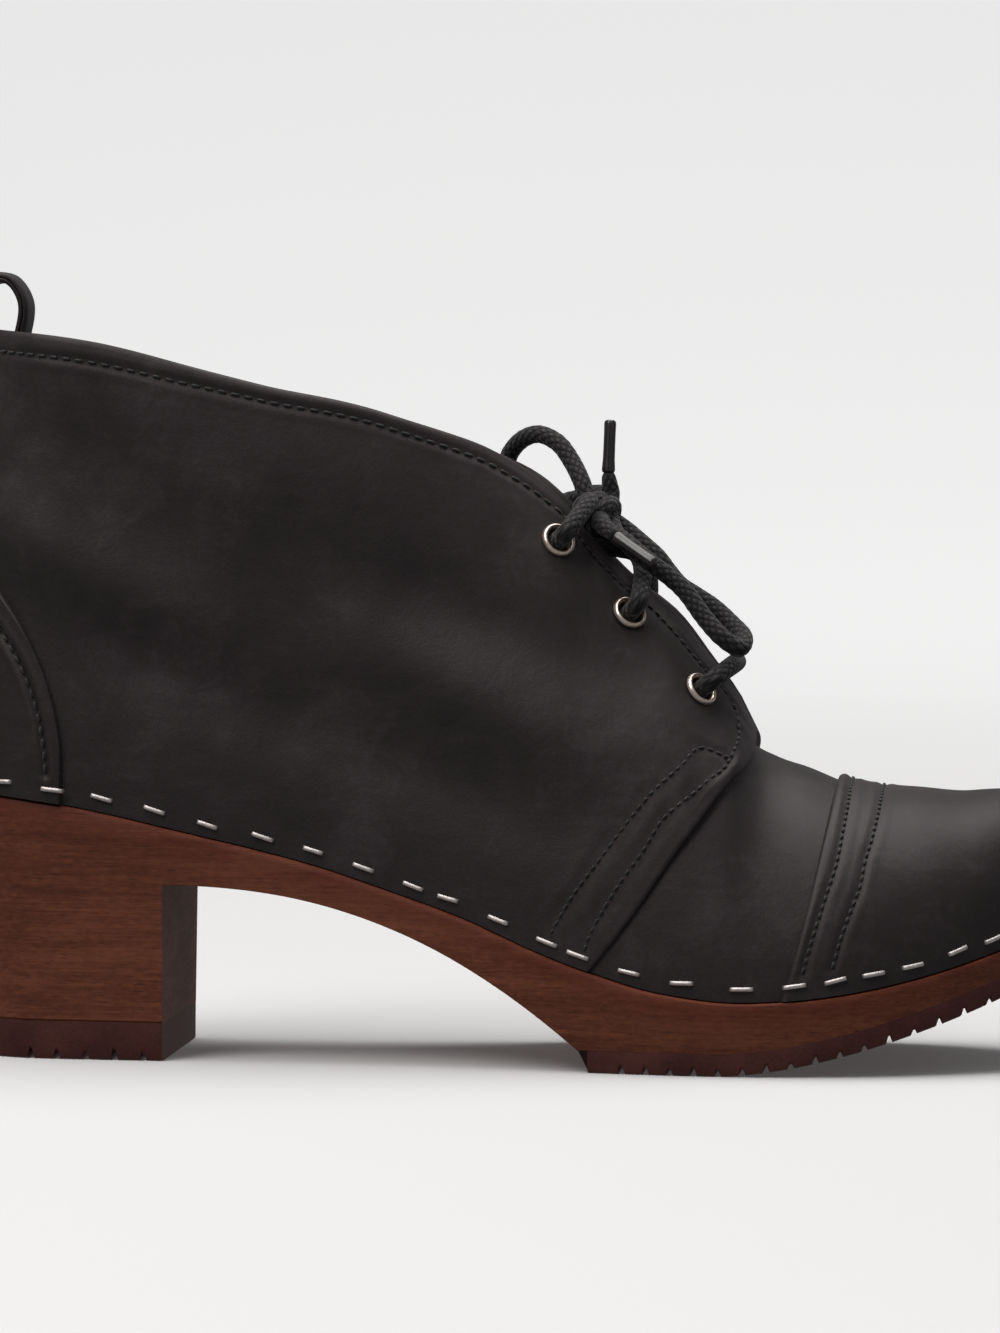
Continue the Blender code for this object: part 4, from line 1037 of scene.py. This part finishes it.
def overRidge(u, angle, offset, medialOffset=None):
    # a grid from the lateral side over the ridge to the medial side
    first = offsetPoint(u, lateral, angle, offset)
    second = offsetPoint(u, medial, angle, offset if medialOffset is None else medialOffset)
    return np.concatenate([first, second[:, -2::-1]], axis=1)


capLook = {
    "rows": 110, "edgeRows": 6, "columns": 78, "foot": 0.7400, "top": 0.7800, "edgeBand": 0.006, "rim": 0.0007,
    "rimWidth": 0.004, "sunk": 0.0002,
}


def toeCap():
    # an overlay from its swept back edge to the toe tip, that edge rounded off
    look = capLook
    lift = np.linspace(0, 1, look["columns"])
    start = uOf(sweptShare(lift, look["foot"], look["top"]))
    band = start + look["edgeBand"]
    u = np.array([start, *between(start, band, look["edgeRows"]), *between(band, 1 + 0 * lift, look["rows"])])
    angle = np.pi / 2 * lift + 0 * u
    full = shoe["gap"] + shoe["overlay"]
    fall = look["rim"] * quarterRound(np.clip(1 - (u - start) / look["rimWidth"], 0, 1))
    faces = []
    for side in bothSides:
        lines = [rowLine(row, side, full) for row in capRows]
        faces.append(full + seamRelief(offsetPoint(u, side, angle, full), lines) - fall)
    outer, inner = overRidge(u, angle, *faces), overRidge(u, angle, -look["sunk"])
    return slabMesh("toeCap", [(outer, inner, [np.s_[0], np.s_[:, 0], np.s_[:, -1]])], capLeather)


counterLook = {
    "rows": 64, "columns": 70, "front": 0.1180, "height": 0.54, "seamFront": 0.1045, "seamHeight": 0.470,
    "power": 2.6, "rim": 0.0008, "rimWidth": 0.022, "frontRim": 0.0007, "frontRimWidth": 0.006, "mostRim": 0.0009,
    "sunk": 0.0003,
}
allBorders = [np.s_[0], np.s_[-1], np.s_[:, 0], np.s_[:, -1]]


def counterTop(turns, reach, front, height):
    # an arch from the back seam to the counter's front: height * (1 - t^p)^(1/p)
    t = np.sin(np.linspace(0, np.pi / 2, turns)) * reach
    u = uOf(front) * t
    share = shareOf(u)
    power = counterLook["power"]
    rise = height * shoe["quarterHeight"] * (1 - t**power) ** (1 / power)
    return u, angleAtHeight(share, edgeHeight(share) + rise)


def heelCounter():
    # an overlay round the heel under that arch, its free edges rounded off; returns its stitch rows as well
    look = counterLook
    u, top = counterTop(look["columns"], 0.995, look["front"], look["height"])
    part = 1 - (1 - np.linspace(0, 1, look["rows"])) ** 1.25
    angle = part[:, None] * top
    full = shoe["quarterStep"] + shoe["gap"] + shoe["overlay"]
    toFront = (u[-1] - u) / u[-1]
    frontFall = rimmed(1 - toFront, look["frontRimWidth"], look["frontRim"])
    fall = np.minimum(rimmed(part, look["rimWidth"], look["rim"])[:, None] + frontFall, look["mostRim"])
    seamU, seamTop = counterTop(60, 0.998, look["seamFront"], look["seamHeight"])
    outer, inner, lines = [], [], []
    for side in bothSides:
        lines.append(route(offsetPoint(seamU, side, seamTop, full), 0.0006))
        relief = seamRelief(offsetPoint(u, side, angle, full), lines[-1:])
        outer.append(offsetPoint(u, side, angle, full + relief - fall))
        inner.append(offsetPoint(u, side, angle, shoe["quarterStep"] - look["sunk"]))
    grids = [np.concatenate([first[:, ::-1], second[:, 1:]], axis=1) for first, second in (outer, inner)]
    return slabMesh("heelCounter", [(*grids, allBorders)], capLeather), lines


tongueLook = {
    "rows": 70, "columns": 34, "top": 0.517, "rounding": 0.026, "foot": 0.745, "sideStart": 0.52, "thick": 0.0025,
    "topDepth": 0.0070, "swell": 0.0027, "swellAt": 0.588, "swellWidth": 0.028, "edge": 0.0011,
}


def tongue():
    # under the throat: it lies deeper towards its foot and swells up between the laces
    look = tongueLook
    t = np.linspace(0, 1, look["rows"])[:, None]
    across = np.linspace(0, 1, look["columns"])[None, :]
    back = look["top"] - look["rounding"] * (1 - across) ** 1.5
    u = uOf(back + (look["foot"] - back) * t)
    angle = np.pi / 2 * (look["sideStart"] + (1 - look["sideStart"]) * across) + 0 * t
    drop = shoe["wall"] + shoe["gap"]
    drop = drop + (look["topDepth"] - shoe["gap"]) * np.clip((1 - t) / 0.3, 0, 1) ** 0.8 + 0 * across
    bell = np.exp(-(((shareOf(u) - look["swellAt"]) / look["swellWidth"]) ** 2))
    drop = drop - look["swell"] * across**2 * bell
    edge = np.clip(t / 0.03, 0, 1) * np.clip((across + 0.02) / 0.08, 0, 1)
    puff = look["edge"] * quarterRound(1 - edge)
    outer, inner = overRidge(u, angle, -drop - puff), overRidge(u, angle, -drop - look["thick"] + puff * 0.5)
    return slabMesh("tongue", [(outer, inner, allBorders)], tongueLeatherShaded)


strapLook = {
    "half": 0.00125, "wide": 0.0060, "reach": 0.0046, "crown": 0.0133, "forward": 0.0022, "sunk": 0.0003,
    "inside": 0.0012, "sides": 40, "corner": 5, "pitch": 0.0006,
}


def seamX(z, offset):
    return float(offsetPoint(np.float64(0), lateral, angleAtHeight(np.float64(0), z), offset)[0])


def pullLoop():
    # strap profile (a squared ellipse) carried along the loop over the collar's back
    look = strapLook
    collar = float(edgeHeight(0.0)) + shoe["quarterHeight"]
    half, reach = look["half"], look["reach"] + look["half"]
    middle, crown = seamX(collar, 0.0) + look["forward"], collar + look["crown"] - half
    outside = [
        (seamX(collar - drop, shoe["quarterStep"]) - look["sunk"] - half, collar - drop)
        for drop in (0.018, 0.010, 0.003)
    ]
    inside = [
        (seamX(collar - drop, -shoe["wall"]) + look["inside"] + half, collar - drop) for drop in (0.011, 0.018)
    ]
    bends = ((-0.51, 0.0010), (0.29, 0.0006), (0.88, 0.0055))
    ring = [(middle + across * reach, crown - drop) for across, drop in bends]
    ring = [(middle - 1.10 * reach, collar + 0.0048), *ring, (middle + 0.76 * reach, collar - 0.0010)]
    path = route([(x, 0, z) for x, z in outside + ring + inside], look["pitch"])
    run = unit(np.gradient(path, axis=0))
    face = np.stack([-run[:, 2], 0 * run[:, 0], run[:, 0]], -1)
    turn = np.linspace(0, 2 * np.pi, look["sides"] + 1)
    power = look["corner"]
    squared = (np.abs(np.cos(turn)) ** power + np.abs(np.sin(turn)) ** power) ** (-1 / power)
    # the two layers part slightly along the strap's edges
    split = 1 - 0.10 * np.exp(-((turn % np.pi) / 0.10) ** 2)
    wide = look["wide"] * squared * np.cos(turn) * split
    thick = half * squared * np.sin(turn)
    grid = path[:, None] + face[:, None] * thick[:, None] + np.array([0, 1, 0]) * wide[:, None]
    caps = [np.repeat(path[[k]], len(turn), axis=0)[None] for k in (0, -1)]
    return gridMesh("pullLoop", np.concatenate([caps[0], grid, caps[1]]), leather, None, 1e-5, 60)


dress(quarters(), "nubuck", "upper")
print("quarters made")
dress(vamp(), "nubuck", "upper")
dress(toeCap(), "nubuck", "toe_cap")
counterPiece, counterLines = heelCounter()
dress(counterPiece, "nubuck", "heel_counter")
dress(tongue(), "tongue_leather", "tongue")
dress(pullLoop(), "nubuck", "pull_loop")
print("leather made")

# stitches, staples, eyelets

stitchLook = {"length": 0.66, "thick": 0.00036, "sunk": 0.00012, "frontPitch": 0.0021}


def stitches(name, lines, pitch=stitchLook["frontPitch"]):
    # capsules laid along a line, each at its place's centre and turned to the line's way there
    grids = []
    turn = np.linspace(0, 2 * np.pi, 7)[:, None]
    reach = np.array([-0.5, -0.46, -0.3, 0.0, 0.3, 0.46, 0.5]) * stitchLook["length"] * pitch
    fat = np.array([0.0, 0.6, 0.95, 1.0, 0.95, 0.6, 0.0]) * stitchLook["thick"]
    for line in lines:
        count = max(2, round(pathLength(line) / pitch))
        where = (np.arange(count) + 0.5) / count * (len(line) - 1)
        k = np.arange(len(line))
        centre = placesAlong(line, k, where)
        way = unit(placesAlong(np.gradient(line, axis=0), k, where))
        beside = unit(np.cross(way, (0.13, 0.22, 0.97)))
        over = np.cross(beside, way)
        body = centre[:, None, None] + way[:, None, None] * reach[:, None, None]
        ring = beside[:, None, None] * np.cos(turn) + over[:, None, None] * np.sin(turn)
        grids.append(body + ring * fat[:, None, None])
    dress(mergedMesh(name, np.concatenate(grids), seamThread), "nubuck")


face = shoe["quarterStep"] - stitchLook["sunk"]
stitches("collarStitches", [rowLine(collarRow, side, face, True) for side in bothSides], 0.0030)
stitches("quarterStitches", [rowLine(row, side, face, True) for side in bothSides for row in (frontRow, innerRow)])
capFace = shoe["gap"] + shoe["overlay"] - stitchLook["sunk"]
capLines = []
for row in capRows:
    near, far = (rowLine(row, side, capFace) for side in bothSides)
    capLines.append(np.concatenate([near[::-1], far[1:]]))
stitches("capStitches", capLines)
stitches("counterStitches", counterLines, 0.0028)
print("stitches made")

stapleLook = {
    "shares": (0.0656, 0.1101, 0.1521, 0.1982, 0.2443, 0.2921, 0.3359, 0.3795, 0.4225, 0.4526, 0.4963, 0.5385,
               0.5653, 0.6084, 0.6540, 0.7059, 0.7508, 0.7850, 0.8172, 0.8499, 0.8874, 0.9173),
    "pitch": 0.0108, "above": 0.0034, "uneven": 0.00018, "length": 0.0053, "wide": 0.00048, "thick": 0.00034,
    "rise": 0.00050, "clear": 0.0001, "tilt": 0.07, "seed": 7,
}


def edgeArc(first, last):
    # shares spaced evenly along the wood's edge between two stations, both ends left out
    u = np.linspace(uOf(first), uOf(last), 400)
    run = runAlong(atLift(shareOf(u), lateral, 0.03))
    count = max(1, round(run[-1] / stapleLook["pitch"]))
    return shareOf(np.interp(np.arange(1, count) * run[-1] / count, run, u))


def leatherUnder(share):
    # how far the leather's face stands off the last at the wood's edge: counter, quarter, vamp, cap
    overlaid = shoe["gap"] + shoe["overlay"]
    if share < 0.119:
        return shoe["quarterStep"] + overlaid
    return overlaid if share > 0.742 else shoe["quarterStep"] * (share < 0.573)


def staples():
    # each staple: a flattened bar along the edge, its ends turned down into the leather
    look = stapleLook
    rng = np.random.default_rng(look["seed"])
    shares = look["shares"]
    run = [*edgeArc(0.0, shares[0]), *shares, *edgeArc(shares[-1], 1.0)]
    t = np.array([-0.50, -0.495, -0.47, -0.42, -0.25, 0.0, 0.25, 0.42, 0.47, 0.495, 0.50])[:, None]
    lift = np.array([-2.6, -1.4, -0.1, 0.75, 1.0, 1.05, 1.0, 0.75, -0.1, -1.4, -2.6])[:, None] * look["rise"]
    size = np.array([0.0, 0.9, 1, 1, 1, 1, 1, 1, 1, 0.9, 0.0])[:, None, None]
    turn = np.linspace(0, 2 * np.pi, 9)[:, None]
    step = 0.004
    grids = []
    for share, side in [(share, side) for side in bothSides for share in run] + [(0.0, lateral), (1.0, lateral)]:
        above = leatherUnder(share)
        height = edgeHeight(np.float64(share)) + look["above"] + rng.normal(0, look["uneven"])
        angle = float(angleAtHeight(np.float64(share), height))
        u = float(uOf(share))
        centre = offsetPoint(u, side, angle, above)
        normal = unit(offsetPoint(u, side, angle, above + 0.001) - centre)
        way = np.array([0.0, 1.0, 0.0])
        if step <= u <= 1 - step:
            way = offsetPoint(u + step, side, angle, above) - offsetPoint(u - step, side, angle, above)
            way[2] = edgeHeight(shareOf(u + step)) - edgeHeight(shareOf(u - step))
        way = unit(way - normal * (way @ normal))
        across = np.cross(normal, way)
        tilt = rng.normal(0, look["tilt"])
        way, across = (
            way * math.cos(tilt) + across * math.sin(tilt), across * math.cos(tilt) - way * math.sin(tilt)
        )
        length = look["length"] * (1 + rng.normal(0, 0.03))
        bar = centre + way * t * length + normal * (lift + look["clear"])
        ring = across * np.cos(turn) * look["wide"] + normal * np.sin(turn) * look["thick"]
        grids.append(bar[:, None] + ring * size)
    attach(mergedMesh("staples", grids, steel), "root")


staples()

eyeletLook = {"ring": 0.00340, "roll": 0.00062, "seat": 0.0002, "top": 0.0012, "past": 0.0007, "segments": 48}


def eyelets():
    # a rolled ring: a half round outside, a barrel through the leather, a flatter rim inside
    look = eyeletLook
    seat, under = look["seat"], -shoe["wall"] - shoe["quarterStep"] - look["past"]
    profile = [
        (look["ring"] + look["roll"] * math.cos(a), seat + (look["top"] - seat) * math.sin(a))
        for a in np.linspace(0, np.pi, 12)
    ]
    profile += [
        (look["ring"] - look["roll"], under), (0.00300, under - 0.0004), (0.00360, under - 0.0003),
        (0.00360, under), (0.00320, under), (0.00320, seat), profile[0],
    ]
    for (side, row), (centre, way) in axes.items():
        word = "lateral" if side == lateral else "medial"
        ring = turnedPoints(profile, centre, way, look["segments"])
        dress(gridMesh(f"eyelet_{word}_{row}_ring", ring, rose), "eyelet_metal", f"eyelet_{word}_{row}")


eyelets()
print("fittings made")

# wooden sole and its rubber

# its last entry: how far down from the wood's top rim the painted reddish highlight reaches
soleLook = {
    "heelRubber": 0.0084, "frontRubber": 0.0048, "heelLength": 0.053, "archTop": 0.0392, "archPower": 2.3,
    "archFront": 0.564, "taper": 0.003, "edgeRound": 0.0010, "rim": 0.010, "dip": 0.003, "rebate": 0.0006,
    "rimHighlightBand": 0.007,
}
breast = soleLook["heelLength"] - shoe["heelOverhang"]
archEnd = float(xOf(soleLook["archFront"]))


def sideInset(share, z):
    # the walls draw in towards the floor
    return soleLook["taper"] * (1 - z / edgeHeight(share))


def soleBottom(x, share):
    # heel, then an arch that falls as 1 - q^p, then the forefoot's tread line
    look = soleLook
    q = np.clip((x - breast) / (archEnd - breast), 0, 1)
    arch = look["frontRubber"] + (look["archTop"] - look["frontRubber"]) * (1 - q ** look["archPower"])
    return np.where(x < breast, look["heelRubber"], np.maximum(arch, look["frontRubber"] + treadHeight(share)))


def soleStations():
    # u along the sole, twice at the heel's breast, where the bottom jumps from heel to arch
    cut = float(uOf(shareAt(breast)))
    u = np.unique(np.concatenate([np.linspace(0, 1, 150), uOf(shareAt(np.linspace(breast, archEnd, 60)))]))
    u = u[np.abs(u - cut) > 1e-5]
    return np.concatenate([u[u < cut], [cut, cut], u[u > cut]]), int((u < cut).sum())


def soleTop(u, side):
    # the wall inside the leather's rebate, from the edge up to the footbed
    look = soleLook
    share = shareOf(u)
    rim = np.minimum(look["rim"], 0.6 * sectionSizes(share)[0])
    top = edgeHeight(share)[:, None] + rim[:, None] * np.array([0.0, 0.5, 1.0])
    angle = angleAtHeight(share[:, None], top + shoe["gap"])
    inner = offsetPoint(u[:, None], side, angle, -shoe["wall"] - look["rebate"])
    inner[..., 2] = top
    return inner


def sole():
    # one closed ring of points at each station: outer walls, rebate, dished footbed, underside
    look = soleLook
    u, k = soleStations()
    share = shareOf(u)
    base = soleBottom(xOf(share), share)
    base[k], base[k + 1] = look["heelRubber"], look["archTop"]
    edge = edgeHeight(share)
    soft = look["edgeRound"]
    t = np.concatenate([[0, 0.012], np.linspace(0.05, 1, 12)])
    low = base[:, None] + t * (edge - soft - base)[:, None]
    levels = np.concatenate([low, (edge - 0.3 * soft)[:, None], edge[:, None]], axis=1)
    inset = sideInset(share[:, None], low)
    inset[:, 0] += 0.0004
    inset = np.concatenate([inset, np.full((len(u), 1), 0.3 * soft), np.full((len(u), 1), soft)], axis=1)
    wide = np.repeat(u[:, None], levels.shape[1], axis=1)
    walls = [np.concatenate([outline(wide, side, inset), levels[..., None]], axis=2) for side in bothSides]
    tops = [soleTop(u, side) for side in bothSides]
    middle = (tops[0][:, -1] + tops[1][:, -1]) / 2
    fade = np.minimum(1, np.minimum(6 * u, 6 - 6 * u))
    bed = []
    for s in np.linspace(-0.92, 0.92, 15):
        wall = tops[0][:, -1] if s < 0 else tops[1][:, -1]
        place = middle + abs(s) * (wall - middle)
        place[:, 2] = middle[:, 2] - look["dip"] * (1 - s**2) * fade
        bed.append(place)
    under = walls[1][:, :1] + (walls[0][:, :1] - walls[1][:, :1]) * np.linspace(0, 1, 8)[None, 1:-1, None]
    ring = [walls[0], tops[0], np.stack(bed, axis=1), tops[1][:, ::-1], walls[1][:, ::-1], under]
    item = gridMesh("woodSole", np.concatenate(ring, axis=1), wood, None, 2e-5, 32, True)
    # how near a point is to the turned top rim, for the painted reddish highlight there
    place = np.empty(len(item.data.vertices) * 3, np.float32)
    item.data.vertices.foreach_get("co", place)
    place = place.reshape(-1, 3)
    down = edgeHeight(shareAt(np.clip(place[:, 0], xOf(0), xOf(1)))) - place[:, 2]
    layer = item.data.attributes.new("rim", "FLOAT", "POINT")
    layer.data.foreach_set("value", np.clip(1 - down / look["rimHighlightBand"], 0, 1).astype(np.float32))
    dress(item, "wood", "sole")


treadLook = {
    "groove": 0.0015, "heelPitch": 0.0065, "frontPitch": 0.0054, "heelDepth": 0.0018, "frontDepth": 0.0013,
    "slope": 1.1, "firstLand": 0.0035, "lastLand": 0.009, "heelFirst": 0.085, "above": 0.0001,
}


def grooveDepth(x, grooves, depth):
    # trapezoids, each groove a little deeper or shallower than the next
    t = (x[:, None] - np.array(grooves)[None]) / treadLook["groove"]
    uneven = 1 + 0.22 * np.sin(2.4 * np.arange(len(grooves)) + 0.6)
    return depth * (np.clip(3 * np.minimum(t, 1 - t), 0, 1) * uneven).max(axis=1)


def grooveStations(starts):
    # the four corners of each groove's trapezoid
    return [float(shareAt(x + part * treadLook["groove"] / 3)) for x in starts for part in range(4)]


def rubberPiece(name, shares, grooves, depth, thick, node, slope=0.0):
    # outline ring at each station, bottom lifted in each groove
    share = np.unique(np.round([*shares, *grooveStations(grooves)], 7))
    u = uOf(share)
    floor = treadHeight(share)
    bottom = floor + grooveDepth(xOf(share), grooves, depth)
    top = floor + thick + treadLook["above"]
    rise = np.array([0.0, 0.0003, 0.0009, 1.0])
    draw = np.array([0.0009, 0.0003, 0.0, 0.0])
    z = bottom[:, None] + rise * (top - bottom)[:, None]
    z[:, 1:3] = bottom[:, None] + rise[1:3]
    inset = sideInset(share, floor + thick)[:, None] + draw
    wide = np.repeat(u[:, None], 4, axis=1)
    near, far = (np.concatenate([outline(wide, side, inset), z[..., None]], axis=2) for side in bothSides)
    ring = np.concatenate([near, far[:, ::-1]], axis=1)
    ring[0, :, 0] += slope * (ring[0, :, 2].max() - ring[0, :, 2])
    ends = [np.repeat(ring[[end]].mean(axis=1, keepdims=True), ring.shape[1], axis=1) for end in (0, -1)]
    item = gridMesh(name, np.concatenate([ends[0], ring, ends[1]]), rubber, None, 1e-5, 30, True)
    dress(item, "tread_rubber", node)


def heelRubber():
    look = treadLook
    starts = list(np.arange(float(xOf(look["heelFirst"])), breast - look["heelPitch"] * 0.6, look["heelPitch"]))
    shares = [*shareOf(np.linspace(0, uOf(look["heelFirst"]), 40)), float(shareAt(breast)) - tiny]
    rubberPiece("heelRubber", shares, starts, look["heelDepth"], soleLook["heelRubber"], "outsole_heel")


def forefootRubber():
    # its first face slopes back under the arch, and evenly spaced stations give way to the grooves' own
    look, thick = treadLook, soleLook["frontRubber"]
    first = float(shareAt(archEnd + shoe["gap"]))
    start = float(xOf(first)) + look["slope"] * thick + look["firstLand"]
    starts = list(np.arange(start, float(xOf(1)) - look["lastLand"], look["frontPitch"]))
    half = look["groove"] / 2
    shares = [
        share for share in shareOf(np.linspace(uOf(first), 1, 90))
        if min(abs(xOf(share) - x - half) for x in starts) > half + 0.00015
    ]
    rubberPiece("forefootRubber", shares, starts, look["frontDepth"], thick, "outsole_front", look["slope"])


heelRubber()
forefootRubber()
sole()
print("sole made")

# floor, light

studio = {
    "paper": 0.74, "nearGlow": 0.05, "farGlow": 0.59, "glowReach": (0.2, 2.6), "sky": 0.84, "world": 0.20,
    "near": -9.0, "bend": 2.0, "bendRadius": 2.5, "top": 9.0, "half": 9.0,
}
lights = {
    "keyLight": {
        "power": 29.0, "size": (2.2, 1.3), "place": (0.0, 0.10, 1.75), "target": (0.09, 0.02, 0.08),
        "colour": (1.0, 0.985, 0.975),
    },
    "sideLight": {
        "power": 13.0, "size": (0.9, 0.9), "place": (-0.7, -1.2, 1.5), "target": (0.09, 0.0, 0.08),
        "colour": (1.0, 0.97, 0.95),
    },
}


def grey(value):
    return (value,) * 3


def studioFloor():
    # a pale sheet that turns up into a wall far behind the shoe: profile (y, z) carried along x
    bend, radius = studio["bend"], studio["bendRadius"]
    turn = np.linspace(0, np.pi / 2, 24)
    curve = np.stack([bend + radius * np.sin(turn), radius - radius * np.cos(turn)], -1)
    profile = np.concatenate([[(studio["near"], 0.0), (bend, 0.0)], curve, [(bend + radius, studio["top"])]])
    x = np.linspace(-studio["half"], studio["half"], 3)
    grid = np.stack(np.broadcast_arrays(x[:, None], profile[None, :, 0], profile[None, :, 1]), -1)
    paint = Paint("studioPaper", Roughness=0.95, Specular_IOR_Level=0.0, Emission_Strength=1.0)
    grain = paint.noise(paint.place(), 3.0, 2)
    colour = paint.mix(grain, grey(studio["paper"]), grey(studio["paper"] * 1.01))
    x, y, _ = paint.axes(paint.place())
    away = (x * x + y * y) ** 0.5
    glow = paint.mix(away.within(*studio["glowReach"]), grey(studio["nearGlow"]), grey(studio["farGlow"]))
    material = paint.feed(Base_Color=colour, Emission_Color=glow)
    item = gridMesh("studioFloor", grid, material, None, 0, 40)
    item.visible_glossy = False
    item.visible_diffuse = False


def areaLight(name, power, size, place, target, colour):
    data = bpy.data.lights.new(name, "AREA")
    data.shape, data.size, data.size_y = "RECTANGLE", size[0], size[1]
    data.energy, data.color = power, colour
    item = bpy.data.objects.new(name, data)
    way = (Vector(target) - Vector(place)).to_track_quat("-Z", "Y")
    item.matrix_world = Matrix.Translation(place) @ way.to_matrix().to_4x4()
    bpy.context.scene.collection.objects.link(item)


def studioWorld():
    # dim as a light, pale where another view looks past the paper
    world = bpy.data.worlds.new("studio")
    bpy.context.scene.world = world
    world.use_nodes = True
    nodes, links = world.node_tree.nodes, world.node_tree.links
    sky, ray, blend = nodes["Background"], nodes.new("ShaderNodeLightPath"), nodes.new("ShaderNodeMix")
    blend.inputs[2].default_value, blend.inputs[3].default_value = studio["world"], studio["sky"]
    links.new(ray.outputs["Is Camera Ray"], blend.inputs[0])
    links.new(blend.outputs[0], sky.inputs["Strength"])
    sky.inputs["Color"].default_value = (1.0, 1.0, 1.0, 1.0)


studioFloor()
studioWorld()
for name, look in lights.items():
    areaLight(name, **look)
bpy.context.scene.view_settings.view_transform = "Standard"
